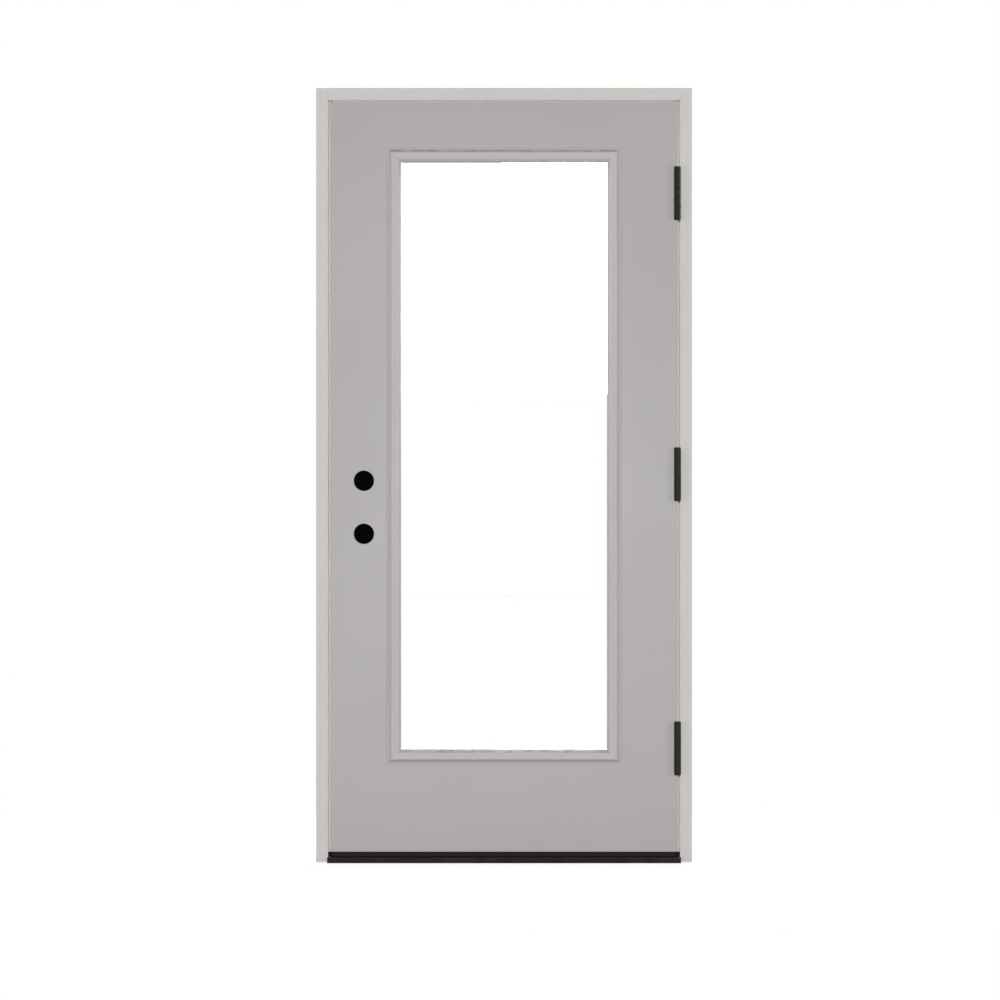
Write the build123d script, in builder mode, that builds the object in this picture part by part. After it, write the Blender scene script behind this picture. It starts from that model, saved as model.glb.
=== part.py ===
"""Full lite front door hung in its frame, with a sill, weather seals and three butt hinges.

Millimetres, Z up. The origin is the centre of the sill's underside, the outside face looks
towards -Y, and the hinges are on the +X side.
"""

import os

from build123d import *

os.makedirs("parts", exist_ok=True)

# Frame
frame_width = 989.0
frame_height = 2038.0
jamb_depth = 115.9
jamb_thickness = 31.75
jamb_foot = 2.5
stop_step = 12.7
eased_edge = 1.2

# Weather seals on the stops
kerf_width = 3.0
kerf_depth = 11.0
kerf_inset = 4.5
seal_space = 10.0
seal_running_gap = 5.0
seal_width = 10.5
seal_round = 2.2
seal_tail_width = 2.2
seal_tail_depth = 9.0
seal_end_gap = 0.3

# Slab
slab_thickness = 44.45
reveal = 5.0
sill_clearance = 29.0
skin_thickness = 0.6
stile_width = 38.0
rail_height = 38.0
lock_block_margin = 70.0

# Lite: the slab's edges to the glass that shows, and what holds the glass
glass_side_margin = 186.25
glass_top_margin = 157.05
glass_bottom_margin = 267.7
lite_frame_side_width = 37.0
lite_frame_end_width = 37.0
lite_frame_proud = 11.5
lite_frame_lap = 18.0
lite_frame_skirt = 8.0
lite_frame_lip = 10.5
lite_frame_slope = 8.0
lite_frame_shoulder = 17.0
lite_frame_crown_fall = 3.0
lite_frame_edge = 1.2
lite_cutout_clearance = 0.5
pane_thickness = 3.2
pane_gap = 19.0
pane_bite = 10.0
spacer_width = 8.0
tape_thickness = 1.0
tape_setback = 0.6

# Lock bores
latch_height = 865.1
bolt_spacing = 139.7
backset = 88.9
cross_bore_radius = 26.9875
edge_bore_radius = 12.7
edge_plate_height = 57.15
edge_plate_width = 25.4
edge_plate_depth = 3.0
edge_plate_corner = 6.35
strike_plate_height = 57.15
strike_plate_width = 29.0
strike_plate_depth = 1.6
bore_cover_radius = 31.0
bore_cover_thickness = 3.0

# Hinges
hinge_top_inset = 240.45
hinge_bottom_inset = 272.4
middle_hinge_rise = 6.9
hinge_height = 130.0
leaf_thickness = 2.5
leaf_reach = 36.0
leaf_corner = 6.35
barrel_radius = 9.2
barrel_standoff = 1.0
knuckle_count = 5
knuckle_gap = 0.4
pin_radius = 4.75
pin_clearance = 0.05
tip_radius = 9.0
tip_height = 5.5
tip_round = 2.5

# Threshold
sill_nose_projection = 24.0
sill_nose_height = 14.6
sill_nose_overlap = 2.2
sill_nose_round = 2.5
sill_tread_height = 17.6
sill_shell = 2.5
sill_stop_height = 42.0
sill_stop_land = 13.0
sill_inner_height = 30.0
groove_pitch = 5.3
groove_width = 2.4
groove_depth = 1.4
tread_groove_count = 3
tread_groove_pitch = 5.0
sill_seal_bottom = 29.0
sill_seal_height = 10.5

# Door sweep
sweep_inset = 5.0
sweep_base = 1.5
sweep_gap = 5.0
sweep_fin_count = 4
sweep_fin_width = 2.0

# Places that follow from the sizes
frame_half = frame_width / 2
opening_half = frame_half - jamb_thickness
stop_half = opening_half - stop_step
head_underside = frame_height - jamb_thickness
front = -jamb_depth / 2
rear = jamb_depth / 2

slab_half = opening_half - reveal
slab_bottom = sill_clearance
slab_top = head_underside - reveal
slab_back = front + slab_thickness
slab_mid = front + slab_thickness / 2
stop_face = slab_back + seal_space
core_front = front + skin_thickness
core_back = slab_back - skin_thickness

glass_half = slab_half - glass_side_margin
glass_bottom = slab_bottom + glass_bottom_margin
glass_top = slab_top - glass_top_margin
glass_width = 2 * glass_half
glass_height = glass_top - glass_bottom
glass_mid = (glass_bottom + glass_top) / 2
end_stretch = lite_frame_end_width / lite_frame_side_width
cutout_margin = lite_frame_side_width - lite_frame_lap
cutout_width = glass_width + 2 * cutout_margin
cutout_height = glass_height + 2 * cutout_margin * end_stretch
unit_half_depth = pane_gap / 2 + pane_thickness

bore_x = -slab_half + backset
bore_heights = {"deadbolt": latch_height + bolt_spacing, "latch": latch_height}
lock_block_bottom = bore_heights["latch"] - lock_block_margin
lock_block_top = bore_heights["deadbolt"] + lock_block_margin
lock_block_height = lock_block_top - lock_block_bottom
lock_block_mid = (lock_block_bottom + lock_block_top) / 2

hinge_heights = {
    "upper": slab_top - hinge_top_inset,
    "middle": (slab_bottom + slab_top) / 2 + middle_hinge_rise,
    "lower": slab_bottom + hinge_bottom_inset,
}

pin_x = opening_half + leaf_thickness - barrel_radius
pin_y = front - barrel_standoff - barrel_radius


def save(piece, name):
    """Label a finished piece and write it as its own file."""
    piece.part.label = name
    export_step(piece.part, f"parts/{name}.step")


def facing_plane(y):
    """A plane at depth y that looks out of the door, with X across and Z up."""
    return Plane.XZ.offset(-y)


def panel(y_front, y_back, width, bottom, top, x_mid=0.0):
    """A flat board between two depths, as a part with no other detail."""
    with BuildPart() as board:
        with BuildSketch(facing_plane(y_back)):
            with Locations((x_mid, (bottom + top) / 2)):
                Rectangle(width, top - bottom)
        extrude(amount=y_back - y_front)
    return board.part


def ring(y_front, y_back, outer_margin, inner_margin):
    """A rectangular ring round the glass, its sides set out from the edge of what shows."""
    with BuildPart() as frame:
        with BuildSketch(facing_plane(y_back)):
            with Locations((0, glass_mid)):
                Rectangle(glass_width + 2 * outer_margin, glass_height + 2 * outer_margin)
                Rectangle(
                    glass_width + 2 * inner_margin,
                    glass_height + 2 * inner_margin,
                    mode=Mode.SUBTRACT,
                )
        extrude(amount=y_back - y_front)
    return frame.part


def hinge_leaf_outline(z_mid):
    """The part of a leaf that is let into the wood: square at the face, rounded behind."""
    with Locations((front + leaf_reach / 2, z_mid)):
        Rectangle(leaf_reach, hinge_height)
    fillet(vertices().group_by(Axis.X)[-1], leaf_corner)


def hinge_beds(x):
    """What a bed for each hinge leaf takes away, from depth x towards +X."""
    with BuildPart() as beds:
        for z_mid in hinge_heights.values():
            with BuildSketch(Plane.YZ.offset(x)):
                hinge_leaf_outline(z_mid)
            extrude(amount=leaf_thickness)
    return beds.part


def round_cuts(plane, centres, radius, depth):
    """What a row of round holes takes away, from a plane along its normal."""
    with BuildPart() as cuts:
        with BuildSketch(plane):
            with Locations(*centres):
                Circle(radius)
        extrude(amount=depth)
    return cuts.part


def cross_bores():
    """The deadbolt and latch bores, right through the slab's thickness."""
    centres = [(bore_x, z) for z in bore_heights.values()]
    return round_cuts(facing_plane(slab_back), centres, cross_bore_radius, slab_thickness)


def edge_bores(x, depth):
    """The two bolt holes at mid-thickness of the slab, from depth x towards +X."""
    centres = [(slab_mid, z) for z in bore_heights.values()]
    return round_cuts(Plane.YZ.offset(x), centres, edge_bore_radius, depth)


def plate_beds(x, width, height, depth):
    """Shallow round-cornered beds for the bolt plates, from depth x towards +X."""
    with BuildPart() as beds:
        with BuildSketch(Plane.YZ.offset(x)):
            with Locations(*[(slab_mid, z) for z in bore_heights.values()]):
                RectangleRounded(width, height, edge_plate_corner)
        extrude(amount=depth)
    return beds.part


def jamb(side):
    """A side jamb with its stop and seal kerf. side is 1 at the hinges and -1 at the latch."""
    kerf_x = side * (opening_half - kerf_inset)
    with BuildPart() as post:
        with BuildSketch(Plane.XY.offset(jamb_foot)):
            with BuildLine():
                Polyline(
                    (side * opening_half, front),
                    (side * frame_half, front),
                    (side * frame_half, rear),
                    (side * stop_half, rear),
                    (side * stop_half, stop_face),
                    (side * opening_half, stop_face),
                    close=True,
                )
            make_face()
            for corner in (
                (side * opening_half, front),
                (side * frame_half, front),
                (side * stop_half, rear),
                (side * stop_half, stop_face),
            ):
                fillet(vertices().sort_by_distance(corner)[0], eased_edge)
            with Locations((kerf_x, stop_face + kerf_depth / 2)):
                Rectangle(kerf_width, kerf_depth, mode=Mode.SUBTRACT)
        extrude(amount=frame_height - jamb_foot)
        if side > 0:
            add(hinge_beds(opening_half), mode=Mode.SUBTRACT)
        else:
            bed_x = -opening_half - strike_plate_depth
            bed = plate_beds(bed_x, strike_plate_width, strike_plate_height, strike_plate_depth)
            add(bed, mode=Mode.SUBTRACT)
            add(edge_bores(-frame_half, jamb_thickness), mode=Mode.SUBTRACT)
    return post


def seal_section(x_mid, x_tail):
    """A seal's bulb and the tail that holds it in the kerf, lying along +Y from the bulb."""
    bulb_front = slab_back + seal_running_gap
    with Locations((x_mid, (bulb_front + stop_face) / 2)):
        Rectangle(seal_width, stop_face - bulb_front)
    fillet(vertices().group_by(Axis.Y)[0], seal_round)
    with Locations((x_tail, stop_face + seal_tail_depth / 2)):
        Rectangle(seal_tail_width, seal_tail_depth)


# Side jambs
hinge_jamb = jamb(1)
save(hinge_jamb, "hinge_jamb")
strike_jamb = jamb(-1)
save(strike_jamb, "strike_jamb")

# Head jamb, between the side jambs
with BuildPart() as head_jamb:
    with BuildSketch(Plane.YZ):
        with BuildLine():
            Polyline(
                (front, frame_height),
                (front, head_underside),
                (stop_face, head_underside),
                (stop_face, frame_height),
                close=True,
            )
        make_face()
        fillet(vertices().group_by(Axis.X)[0], eased_edge)
    extrude(amount=opening_half, both=True)
    with BuildSketch(Plane.YZ):
        with BuildLine():
            Polyline(
                (stop_face, frame_height),
                (stop_face, head_underside - stop_step),
                (rear, head_underside - stop_step),
                (rear, frame_height),
                close=True,
            )
        make_face()
        fillet(vertices().group_by(Axis.Y)[0], eased_edge)
        with Locations((stop_face + kerf_depth / 2, head_underside - kerf_inset)):
            Rectangle(kerf_depth, kerf_width, mode=Mode.SUBTRACT)
    extrude(amount=stop_half, both=True)
save(head_jamb, "head_jamb")

# Seals on the side stops, from the sill's tread to the head
seal_mid = opening_half - seal_end_gap - seal_width / 2
for side, name in ((1, "hinge_side_weatherstrip"), (-1, "strike_side_weatherstrip")):
    with BuildPart() as side_seal:
        with BuildSketch(Plane.XY.offset(sill_tread_height + seal_end_gap)):
            seal_section(side * seal_mid, side * (opening_half - kerf_inset))
        extrude(amount=head_underside - sill_tread_height - 2 * seal_end_gap)
    save(side_seal, name)

# Seal on the head stop, between the side seals
with BuildPart() as head_seal:
    with BuildSketch(Plane.YZ):
        with Locations(((slab_back + seal_running_gap + stop_face) / 2, 0)):
            Rectangle(seal_space - seal_running_gap, seal_width)
        fillet(vertices().group_by(Axis.X)[0], seal_round)
    extrude(amount=seal_mid - seal_width / 2 - seal_end_gap, both=True)
    with BuildSketch(Plane.YZ):
        with Locations((stop_face + seal_tail_depth / 2, seal_width / 2 - kerf_inset + seal_end_gap)):
            Rectangle(seal_tail_depth, seal_tail_width)
    extrude(amount=stop_half - eased_edge, both=True)
head_seal.part = head_seal.part.moved(Location((0, 0, head_underside - seal_end_gap - seal_width / 2)))
save(head_seal, "head_weatherstrip")

# Threshold: nose, tread and stop in one extrusion
nose_front = front - sill_nose_projection
base_front = front
tread_fall = (sill_tread_height - sill_nose_height) / (stop_face - nose_front)
base_step = sill_nose_height + tread_fall * (base_front - nose_front) - sill_shell
stop_land_end = stop_face + sill_stop_land
base_profile = [
    (base_front, 0),
    (base_front, base_step),
    (stop_face + sill_shell, sill_tread_height - sill_shell),
    (stop_face + sill_shell, sill_stop_height - sill_shell),
    (stop_land_end, sill_stop_height - sill_shell),
    (rear, sill_inner_height - sill_shell),
    (rear, 0),
]

with BuildPart() as threshold_base:
    with BuildSketch(Plane.YZ):
        with BuildLine():
            Polyline(*base_profile, close=True)
        make_face()
    extrude(amount=stop_half, both=True)
save(threshold_base, "threshold_base")

with BuildPart() as threshold:
    # The nose, which passes in front of the jambs
    with BuildSketch(Plane.YZ):
        with BuildLine():
            Polyline(
                (nose_front, 0),
                (nose_front, sill_nose_height),
                (front, sill_nose_height + tread_fall * sill_nose_projection),
                (front, 0),
                close=True,
            )
        make_face()
        fillet(vertices().sort_by_distance((nose_front, sill_nose_height))[0], sill_nose_round)
        for row in (1, 2):
            with Locations((nose_front, row * groove_pitch)):
                Rectangle(2 * groove_depth, groove_width, mode=Mode.SUBTRACT)
        for row in range(tread_groove_count):
            with Locations((nose_front + (row + 1.2) * tread_groove_pitch, sill_nose_height)):
                Rectangle(groove_width, groove_depth, mode=Mode.SUBTRACT)
    extrude(amount=opening_half + sill_nose_overlap, both=True)
    # The tread under the slab, between the jambs
    with BuildSketch(Plane.YZ):
        with BuildLine():
            Polyline(
                (front, 0),
                (front, sill_nose_height + tread_fall * sill_nose_projection),
                (stop_face, sill_tread_height),
                (stop_face, 0),
                close=True,
            )
        make_face()
    extrude(amount=opening_half, both=True)
    # The stop behind the slab, between the jambs' stops
    with BuildSketch(Plane.YZ):
        with BuildLine():
            Polyline(
                (stop_face, 0),
                (stop_face, sill_stop_height),
                (stop_land_end, sill_stop_height),
                (rear, sill_inner_height),
                (rear, 0),
                close=True,
            )
        make_face()
    extrude(amount=stop_half, both=True)
    add(threshold_base.part, mode=Mode.SUBTRACT)
save(threshold, "threshold")

# Seal on the front of the threshold's stop
with BuildPart() as threshold_seal:
    with BuildSketch(Plane.YZ):
        seal_top = sill_seal_bottom + sill_seal_height
        with Locations(
            ((slab_back + seal_running_gap + stop_face) / 2, (sill_seal_bottom + seal_top) / 2)
        ):
            Rectangle(seal_space - seal_running_gap, sill_seal_height)
        fillet(vertices().group_by(Axis.X)[0], seal_round)
    extrude(amount=seal_mid - seal_width / 2 - seal_end_gap, both=True)
save(threshold_seal, "threshold_seal")

# Skins, with the lite's cutout and the lock bores
for name, y_front in (("outside_skin", front), ("inside_skin", core_back)):
    with BuildPart() as skin:
        add(panel(y_front, y_front + skin_thickness, 2 * slab_half, slab_bottom, slab_top))
        with BuildSketch(facing_plane(y_front + skin_thickness)):
            with Locations((0, glass_mid)):
                Rectangle(cutout_width, cutout_height)
        extrude(amount=skin_thickness, mode=Mode.SUBTRACT)
        add(cross_bores(), mode=Mode.SUBTRACT)
        add(hinge_beds(slab_half - leaf_thickness), mode=Mode.SUBTRACT)
    save(skin, name)

# Stiles and rails round the edge of the slab
stile_mid = slab_half - stile_width / 2
with BuildPart() as hinge_stile:
    add(panel(core_front, core_back, stile_width, slab_bottom, slab_top, stile_mid))
    add(hinge_beds(slab_half - leaf_thickness), mode=Mode.SUBTRACT)
save(hinge_stile, "hinge_stile")

with BuildPart() as latch_stile:
    add(panel(core_front, core_back, stile_width, slab_bottom, slab_top, -stile_mid))
    add(edge_bores(-slab_half, backset), mode=Mode.SUBTRACT)
    edge_bed = plate_beds(-slab_half, edge_plate_width, edge_plate_height, edge_plate_depth)
    add(edge_bed, mode=Mode.SUBTRACT)
save(latch_stile, "latch_stile")

rail_width = 2 * (slab_half - stile_width)
with BuildPart() as top_rail:
    add(panel(core_front, core_back, rail_width, slab_top - rail_height, slab_top))
save(top_rail, "top_rail")

with BuildPart() as bottom_rail:
    add(panel(core_front, core_back, rail_width, slab_bottom, slab_bottom + rail_height))
save(bottom_rail, "bottom_rail")

# Lock block, from the latch stile to the lite's cutout
block_width = rail_width / 2 - cutout_width / 2
block_mid = -(rail_width + cutout_width) / 4
with BuildPart() as lock_block:
    add(panel(core_front, core_back, block_width, lock_block_bottom, lock_block_top, block_mid))
    add(cross_bores(), mode=Mode.SUBTRACT)
    add(edge_bores(-slab_half, backset), mode=Mode.SUBTRACT)
save(lock_block, "lock_block")

# Foam that fills the rest of the slab round the lite
with BuildPart() as foam_core:
    add(
        panel(core_front, core_back, rail_width, slab_bottom + rail_height, slab_top - rail_height)
    )
    with BuildSketch(facing_plane(core_back)):
        with Locations((0, glass_mid)):
            Rectangle(cutout_width, cutout_height)
        with Locations((block_mid, lock_block_mid)):
            Rectangle(block_width, lock_block_height)
    extrude(amount=core_back - core_front, mode=Mode.SUBTRACT)
save(foam_core, "foam_core")

# Covers over the inside ends of the two cross bores
for bore, bore_z in bore_heights.items():
    with BuildPart() as bore_cover:
        with BuildSketch(facing_plane(slab_back + bore_cover_thickness)):
            with Locations((bore_x, bore_z)):
                Circle(bore_cover_radius)
        extrude(amount=bore_cover_thickness)
        fillet(bore_cover.edges().group_by(Axis.Y)[-1], bore_cover_thickness / 2)
    save(bore_cover, f"{bore}_bore_cover")

# Insulated glass: two panes held apart by a spacer
pane_width = glass_width + 2 * pane_bite
pane_bottom = glass_bottom - pane_bite
pane_top = glass_top + pane_bite
for name, y_front in (
    ("outside_pane", slab_mid - unit_half_depth),
    ("inside_pane", slab_mid + pane_gap / 2),
):
    with BuildPart() as pane:
        add(panel(y_front, y_front + pane_thickness, pane_width, pane_bottom, pane_top))
    save(pane, name)

with BuildPart() as glass_spacer:
    add(ring(slab_mid - pane_gap / 2, slab_mid + pane_gap / 2, pane_bite - 0.5, pane_bite - spacer_width))
save(glass_spacer, "glass_spacer")


def lite_frame_profile(plane, stretch):
    """One side of the lite frame, as (distance out from the glass that shows, height off the
    slab's middle): a wall up from the glass, a slope, a flat crown, an ogee down to a thin edge
    on the slab, and a skirt that runs between the glass and the cutout to meet the other frame.
    The ends have the sides' profile with its distances stretched, so that both meet at the
    mitres."""
    seat = unit_half_depth + tape_thickness
    face = slab_thickness / 2
    crown = face + lite_frame_proud
    foot_out = lite_frame_side_width * stretch
    skirt_out = (cutout_margin - lite_cutout_clearance) * stretch
    skirt_in = (cutout_margin - lite_cutout_clearance - lite_frame_skirt) * stretch
    slope_end = lite_frame_slope * stretch
    crown_end = (lite_frame_side_width - lite_frame_shoulder) * stretch
    edge_top = face + lite_frame_edge
    with BuildSketch(plane) as profile:
        with BuildLine():
            Polyline(
                (foot_out, edge_top),
                (foot_out, face),
                (skirt_out, face),
                (skirt_out, 0),
                (skirt_in, 0),
                (skirt_in, seat),
                (0, seat),
                (0, seat + lite_frame_lip),
                (slope_end, crown - lite_frame_crown_fall),
            )
            Line((slope_end, crown - lite_frame_crown_fall), (crown_end, crown))
            ogee_mid = (crown_end + foot_out) / 2
            Bezier((crown_end, crown), (ogee_mid, crown), (ogee_mid, edge_top), (foot_out, edge_top))
        make_face()
    return profile.sketch


def lite_frame_member(plane, stretch, length, corners):
    """One member of a lite frame: its profile carried along it, then cut at both mitres."""
    with BuildPart() as member:
        extrude(to_extrude=lite_frame_profile(plane, stretch), amount=length / 2, both=True)
        with BuildSketch(facing_plane(slab_mid + slab_thickness)):
            with BuildLine():
                Polyline(*corners, close=True)
            make_face()
        extrude(amount=2 * slab_thickness, mode=Mode.INTERSECT)
    return member.part


# Lite frames, mitred from the corners of the glass to the corners of the frame
outer_half = glass_half + lite_frame_side_width
outer_bottom = glass_bottom - lite_frame_end_width
outer_top = glass_top + lite_frame_end_width
for name, face in (("outside_lite_frame", -1), ("inside_lite_frame", 1)):
    with BuildPart() as lite:
        for side in (1, -1):
            side_plane = Plane(
                origin=(side * glass_half, slab_mid, glass_mid),
                x_dir=(side, 0, 0),
                z_dir=(0, 0, side * face),
            )
            side_corners = [
                (side * glass_half, glass_bottom),
                (side * glass_half, glass_top),
                (side * outer_half, outer_top),
                (side * outer_half, outer_bottom),
            ]
            add(lite_frame_member(side_plane, 1.0, outer_top - outer_bottom, side_corners))
        for end, inner_z, outer_z in ((1, glass_top, outer_top), (-1, glass_bottom, outer_bottom)):
            end_plane = Plane(
                origin=(0, slab_mid, inner_z), x_dir=(0, 0, end), z_dir=(-end * face, 0, 0)
            )
            end_corners = [
                (-glass_half, inner_z),
                (glass_half, inner_z),
                (outer_half, outer_z),
                (-outer_half, outer_z),
            ]
            add(lite_frame_member(end_plane, end_stretch, 2 * outer_half, end_corners))
    save(lite, name)

# Bedding tape between each lite frame and its pane
for name, y_front in (
    ("outside_glazing_tape", slab_mid - unit_half_depth - tape_thickness),
    ("inside_glazing_tape", slab_mid + unit_half_depth),
):
    with BuildPart() as tape:
        add(ring(y_front, y_front + tape_thickness, pane_bite - 0.5, tape_setback))
    save(tape, name)

# Hinges
knuckle_pitch = hinge_height / knuckle_count
for place, hinge_z in hinge_heights.items():
    for name, plate_x, first in (
        ("hinge_frame_leaf", opening_half, 0),
        ("hinge_door_leaf", slab_half - leaf_thickness, 1),
    ):
        with BuildPart() as leaf:
            with BuildSketch(Plane.YZ.offset(plate_x)):
                hinge_leaf_outline(hinge_z)
            extrude(amount=leaf_thickness)
            for knuckle in range(first, knuckle_count, 2):
                low = hinge_z - hinge_height / 2 + knuckle * knuckle_pitch
                trim_low = knuckle_gap / 2 if knuckle > 0 else 0.0
                trim_high = knuckle_gap / 2 if knuckle < knuckle_count - 1 else 0.0
                with BuildSketch(Plane.XY.offset(low + trim_low)):
                    with Locations((pin_x, pin_y)):
                        Circle(barrel_radius)
                    with Locations((plate_x + leaf_thickness / 2, (pin_y + front) / 2)):
                        Rectangle(leaf_thickness, front - pin_y)
                    with Locations((pin_x, pin_y)):
                        Circle(pin_radius + pin_clearance, mode=Mode.SUBTRACT)
                extrude(amount=knuckle_pitch - trim_low - trim_high)
        save(leaf, f"{place}_{name}")
    with BuildPart() as pin:
        with BuildSketch(Plane.XY.offset(hinge_z - hinge_height / 2)):
            with Locations((pin_x, pin_y)):
                Circle(pin_radius)
        extrude(amount=hinge_height)
        for tip_z in (hinge_z + hinge_height / 2, hinge_z - hinge_height / 2 - tip_height):
            with BuildSketch(Plane.XY.offset(tip_z)):
                with Locations((pin_x, pin_y)):
                    Circle(tip_radius)
            extrude(amount=tip_height)
        fillet(pin.edges().group_by(Axis.Z)[0], tip_round)
        fillet(pin.edges().group_by(Axis.Z)[-1], tip_round)
    save(pin, f"{place}_hinge_pin")

# Sweep under the slab
sweep_width = slab_thickness - 2 * sweep_inset
fin_pitch = (sweep_width - sweep_fin_width) / (sweep_fin_count - 1)
with BuildPart() as door_sweep:
    with BuildSketch(Plane.YZ):
        with Locations((slab_mid, slab_bottom - sweep_base / 2)):
            Rectangle(sweep_width, sweep_base)
        fin_bottom = sill_tread_height + sweep_gap
        for fin in range(sweep_fin_count):
            fin_y = slab_mid - sweep_width / 2 + sweep_fin_width / 2 + fin * fin_pitch
            with Locations((fin_y, (slab_bottom + fin_bottom) / 2)):
                Rectangle(sweep_fin_width, slab_bottom - fin_bottom)
    extrude(amount=slab_half - sweep_inset, both=True)
save(door_sweep, "door_sweep")
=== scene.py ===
"""Looks for a full lite front door in its frame: a finish for every piece, and finer mouldings,
seals, sill, sweep, hinges and screws in place of the plain ones. Shapes are worked out in
millimetres, Z up, with the outside face towards -Y, and become metres as each mesh is made."""

import math

import bmesh
import bpy
import numpy as np
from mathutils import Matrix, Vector


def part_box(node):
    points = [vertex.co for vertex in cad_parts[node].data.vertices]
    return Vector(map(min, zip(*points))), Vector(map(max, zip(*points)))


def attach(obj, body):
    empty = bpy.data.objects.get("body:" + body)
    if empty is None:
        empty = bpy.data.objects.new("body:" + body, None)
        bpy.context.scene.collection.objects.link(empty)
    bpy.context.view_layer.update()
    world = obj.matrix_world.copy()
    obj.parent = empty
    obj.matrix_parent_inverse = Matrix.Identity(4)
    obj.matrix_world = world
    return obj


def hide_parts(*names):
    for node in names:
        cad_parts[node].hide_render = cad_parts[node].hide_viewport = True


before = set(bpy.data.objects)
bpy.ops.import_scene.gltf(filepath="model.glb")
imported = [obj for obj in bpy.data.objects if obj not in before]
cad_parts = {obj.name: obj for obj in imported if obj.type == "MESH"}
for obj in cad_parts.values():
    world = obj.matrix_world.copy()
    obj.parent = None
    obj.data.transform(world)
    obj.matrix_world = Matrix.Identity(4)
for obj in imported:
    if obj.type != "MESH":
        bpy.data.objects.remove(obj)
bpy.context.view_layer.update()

MM = 0.001
ALONG_X, ALONG_Y, ALONG_Z = np.eye(3)


# Places read from the frame


def span(node):
    """Lowest and highest corner of a frame node, in millimetres."""
    lowest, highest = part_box(node)
    return np.array(lowest) / MM, np.array(highest) / MM


slab_low, slab_high = span("outside_skin")
front = slab_low[1]
slab_back = span("inside_skin")[1][1]
slab_mid = (front + slab_back) / 2
slab_half = slab_high[0]

PANE_BITE = 10.0
pane_low, pane_high = span("outside_pane")
glass_half = pane_high[0] - PANE_BITE
glass_bottom = pane_low[2] + PANE_BITE
glass_top = pane_high[2] - PANE_BITE
glass_mid = (glass_bottom + glass_top) / 2
glass_rise = (glass_top - glass_bottom) / 2

lite_low, lite_high = span("outside_lite_frame")
lite_width = lite_high[0] - glass_half
lite_crown = slab_mid - lite_low[1]
bedding = slab_mid - span("outside_glazing_tape")[0][1]

JAMB_STOP = 12.7
seal_low, seal_high = span("hinge_side_weatherstrip")
sill_low, sill_high = span("threshold")
stop_front = span("threshold_seal")[1][1]
stop_half = span("threshold_base")[1][0]
tread_half = span("hinge_jamb")[0][0] + JAMB_STOP


# Meshes


def carry(outline, origins, across, up):
    """An outline of (a, b) points set out at each station: origin + a times across + b times up."""
    a, b = np.asarray(outline, float).T[:, :, None]
    origins, across, up = np.broadcast_arrays(*(np.atleast_2d(v) for v in (origins, across, up)))
    return origins[:, None] + a * across[:, None] + b * up[:, None]


def shell(points, path_closed=False, outline_closed=True):
    """A grid of points, stations by outline, as vertices and faces: a quad between each two
    neighbours both ways, round to the start where closed, and a flat cap on each open end."""
    stations, columns = points.shape[:2]
    row = np.arange(stations if path_closed else stations - 1)
    column = np.arange(columns if outline_closed else columns - 1)
    row, column = (index.ravel() for index in np.meshgrid(row, column, indexing="ij"))
    row_on, column_on = (row + 1) % stations, (column + 1) % columns
    corners = ((row, column), (row, column_on), (row_on, column_on), (row_on, column))
    faces = [np.stack([r * columns + c for r, c in corners], axis=-1)]
    if not path_closed:
        faces.append(np.arange(columns)[None, ::-1])
        faces.append(np.arange((stations - 1) * columns, stations * columns)[None])
    return points.reshape(-1, 3), faces


def rounded(corners, radii, closed=True, steps=5):
    """A polyline with its corners turned on arcs. Each arc runs between the two points one
    tangent's length from its corner, about a centre on the corner's bisector."""
    corners = np.asarray(corners, float)
    before, after = np.roll(corners, 1, axis=0), np.roll(corners, -1, axis=0)
    turned = slice(None) if closed else slice(1, -1)
    first, last = corners[:1], corners[-1:]
    corners, before, after = corners[turned], before[turned], after[turned]
    radii = np.broadcast_to(np.asarray(radii, float), len(corners))[:, None]
    back = (before - corners) / np.linalg.norm(before - corners, axis=1, keepdims=True)
    ahead = (after - corners) / np.linalg.norm(after - corners, axis=1, keepdims=True)
    half = np.arccos(np.clip((back * ahead).sum(axis=1, keepdims=True), -1, 1)) / 2
    bisector = (back + ahead) / np.linalg.norm(back + ahead, axis=1, keepdims=True)
    centres = corners + bisector * radii / np.sin(half)
    reach = radii / np.tan(half)
    start, end = corners + back * reach - centres, corners + ahead * reach - centres
    turn = (np.pi - 2 * half)[:, None]
    share = np.linspace(0, 1, steps)[None, :, None]
    arc = np.sin((1 - share) * turn) * start[:, None] + np.sin(share * turn) * end[:, None]
    points = (centres[:, None] + arc / np.sin(turn)).reshape(-1, 2)
    return points if closed else np.concatenate((first, points, last))


def rectangle(left, bottom, right, top):
    """The four corners of a rectangle, in turn."""
    return [(left, bottom), (right, bottom), (right, top), (left, top)]


def lathe(outline, centre, axis, first, segments, outline_closed=False):
    """An outline of (radius, height) points turned once round an axis, from first onwards."""
    angle = np.linspace(0, 2 * np.pi, segments, endpoint=False)[:, None]
    radial = np.cos(angle) * first + np.sin(angle) * np.cross(axis, first)
    points = carry(outline, centre, radial, axis)
    return shell(points, path_closed=True, outline_closed=outline_closed)


def bar(outline, origin, half_length, along=ALONG_X, across=ALONG_Y, up=ALONG_Z):
    """A straight bar: an outline carried from one end to the other, with flat ends."""
    reach = np.array([[-half_length], [half_length]]) * along
    return shell(carry(outline, origin + reach, across, up))


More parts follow.
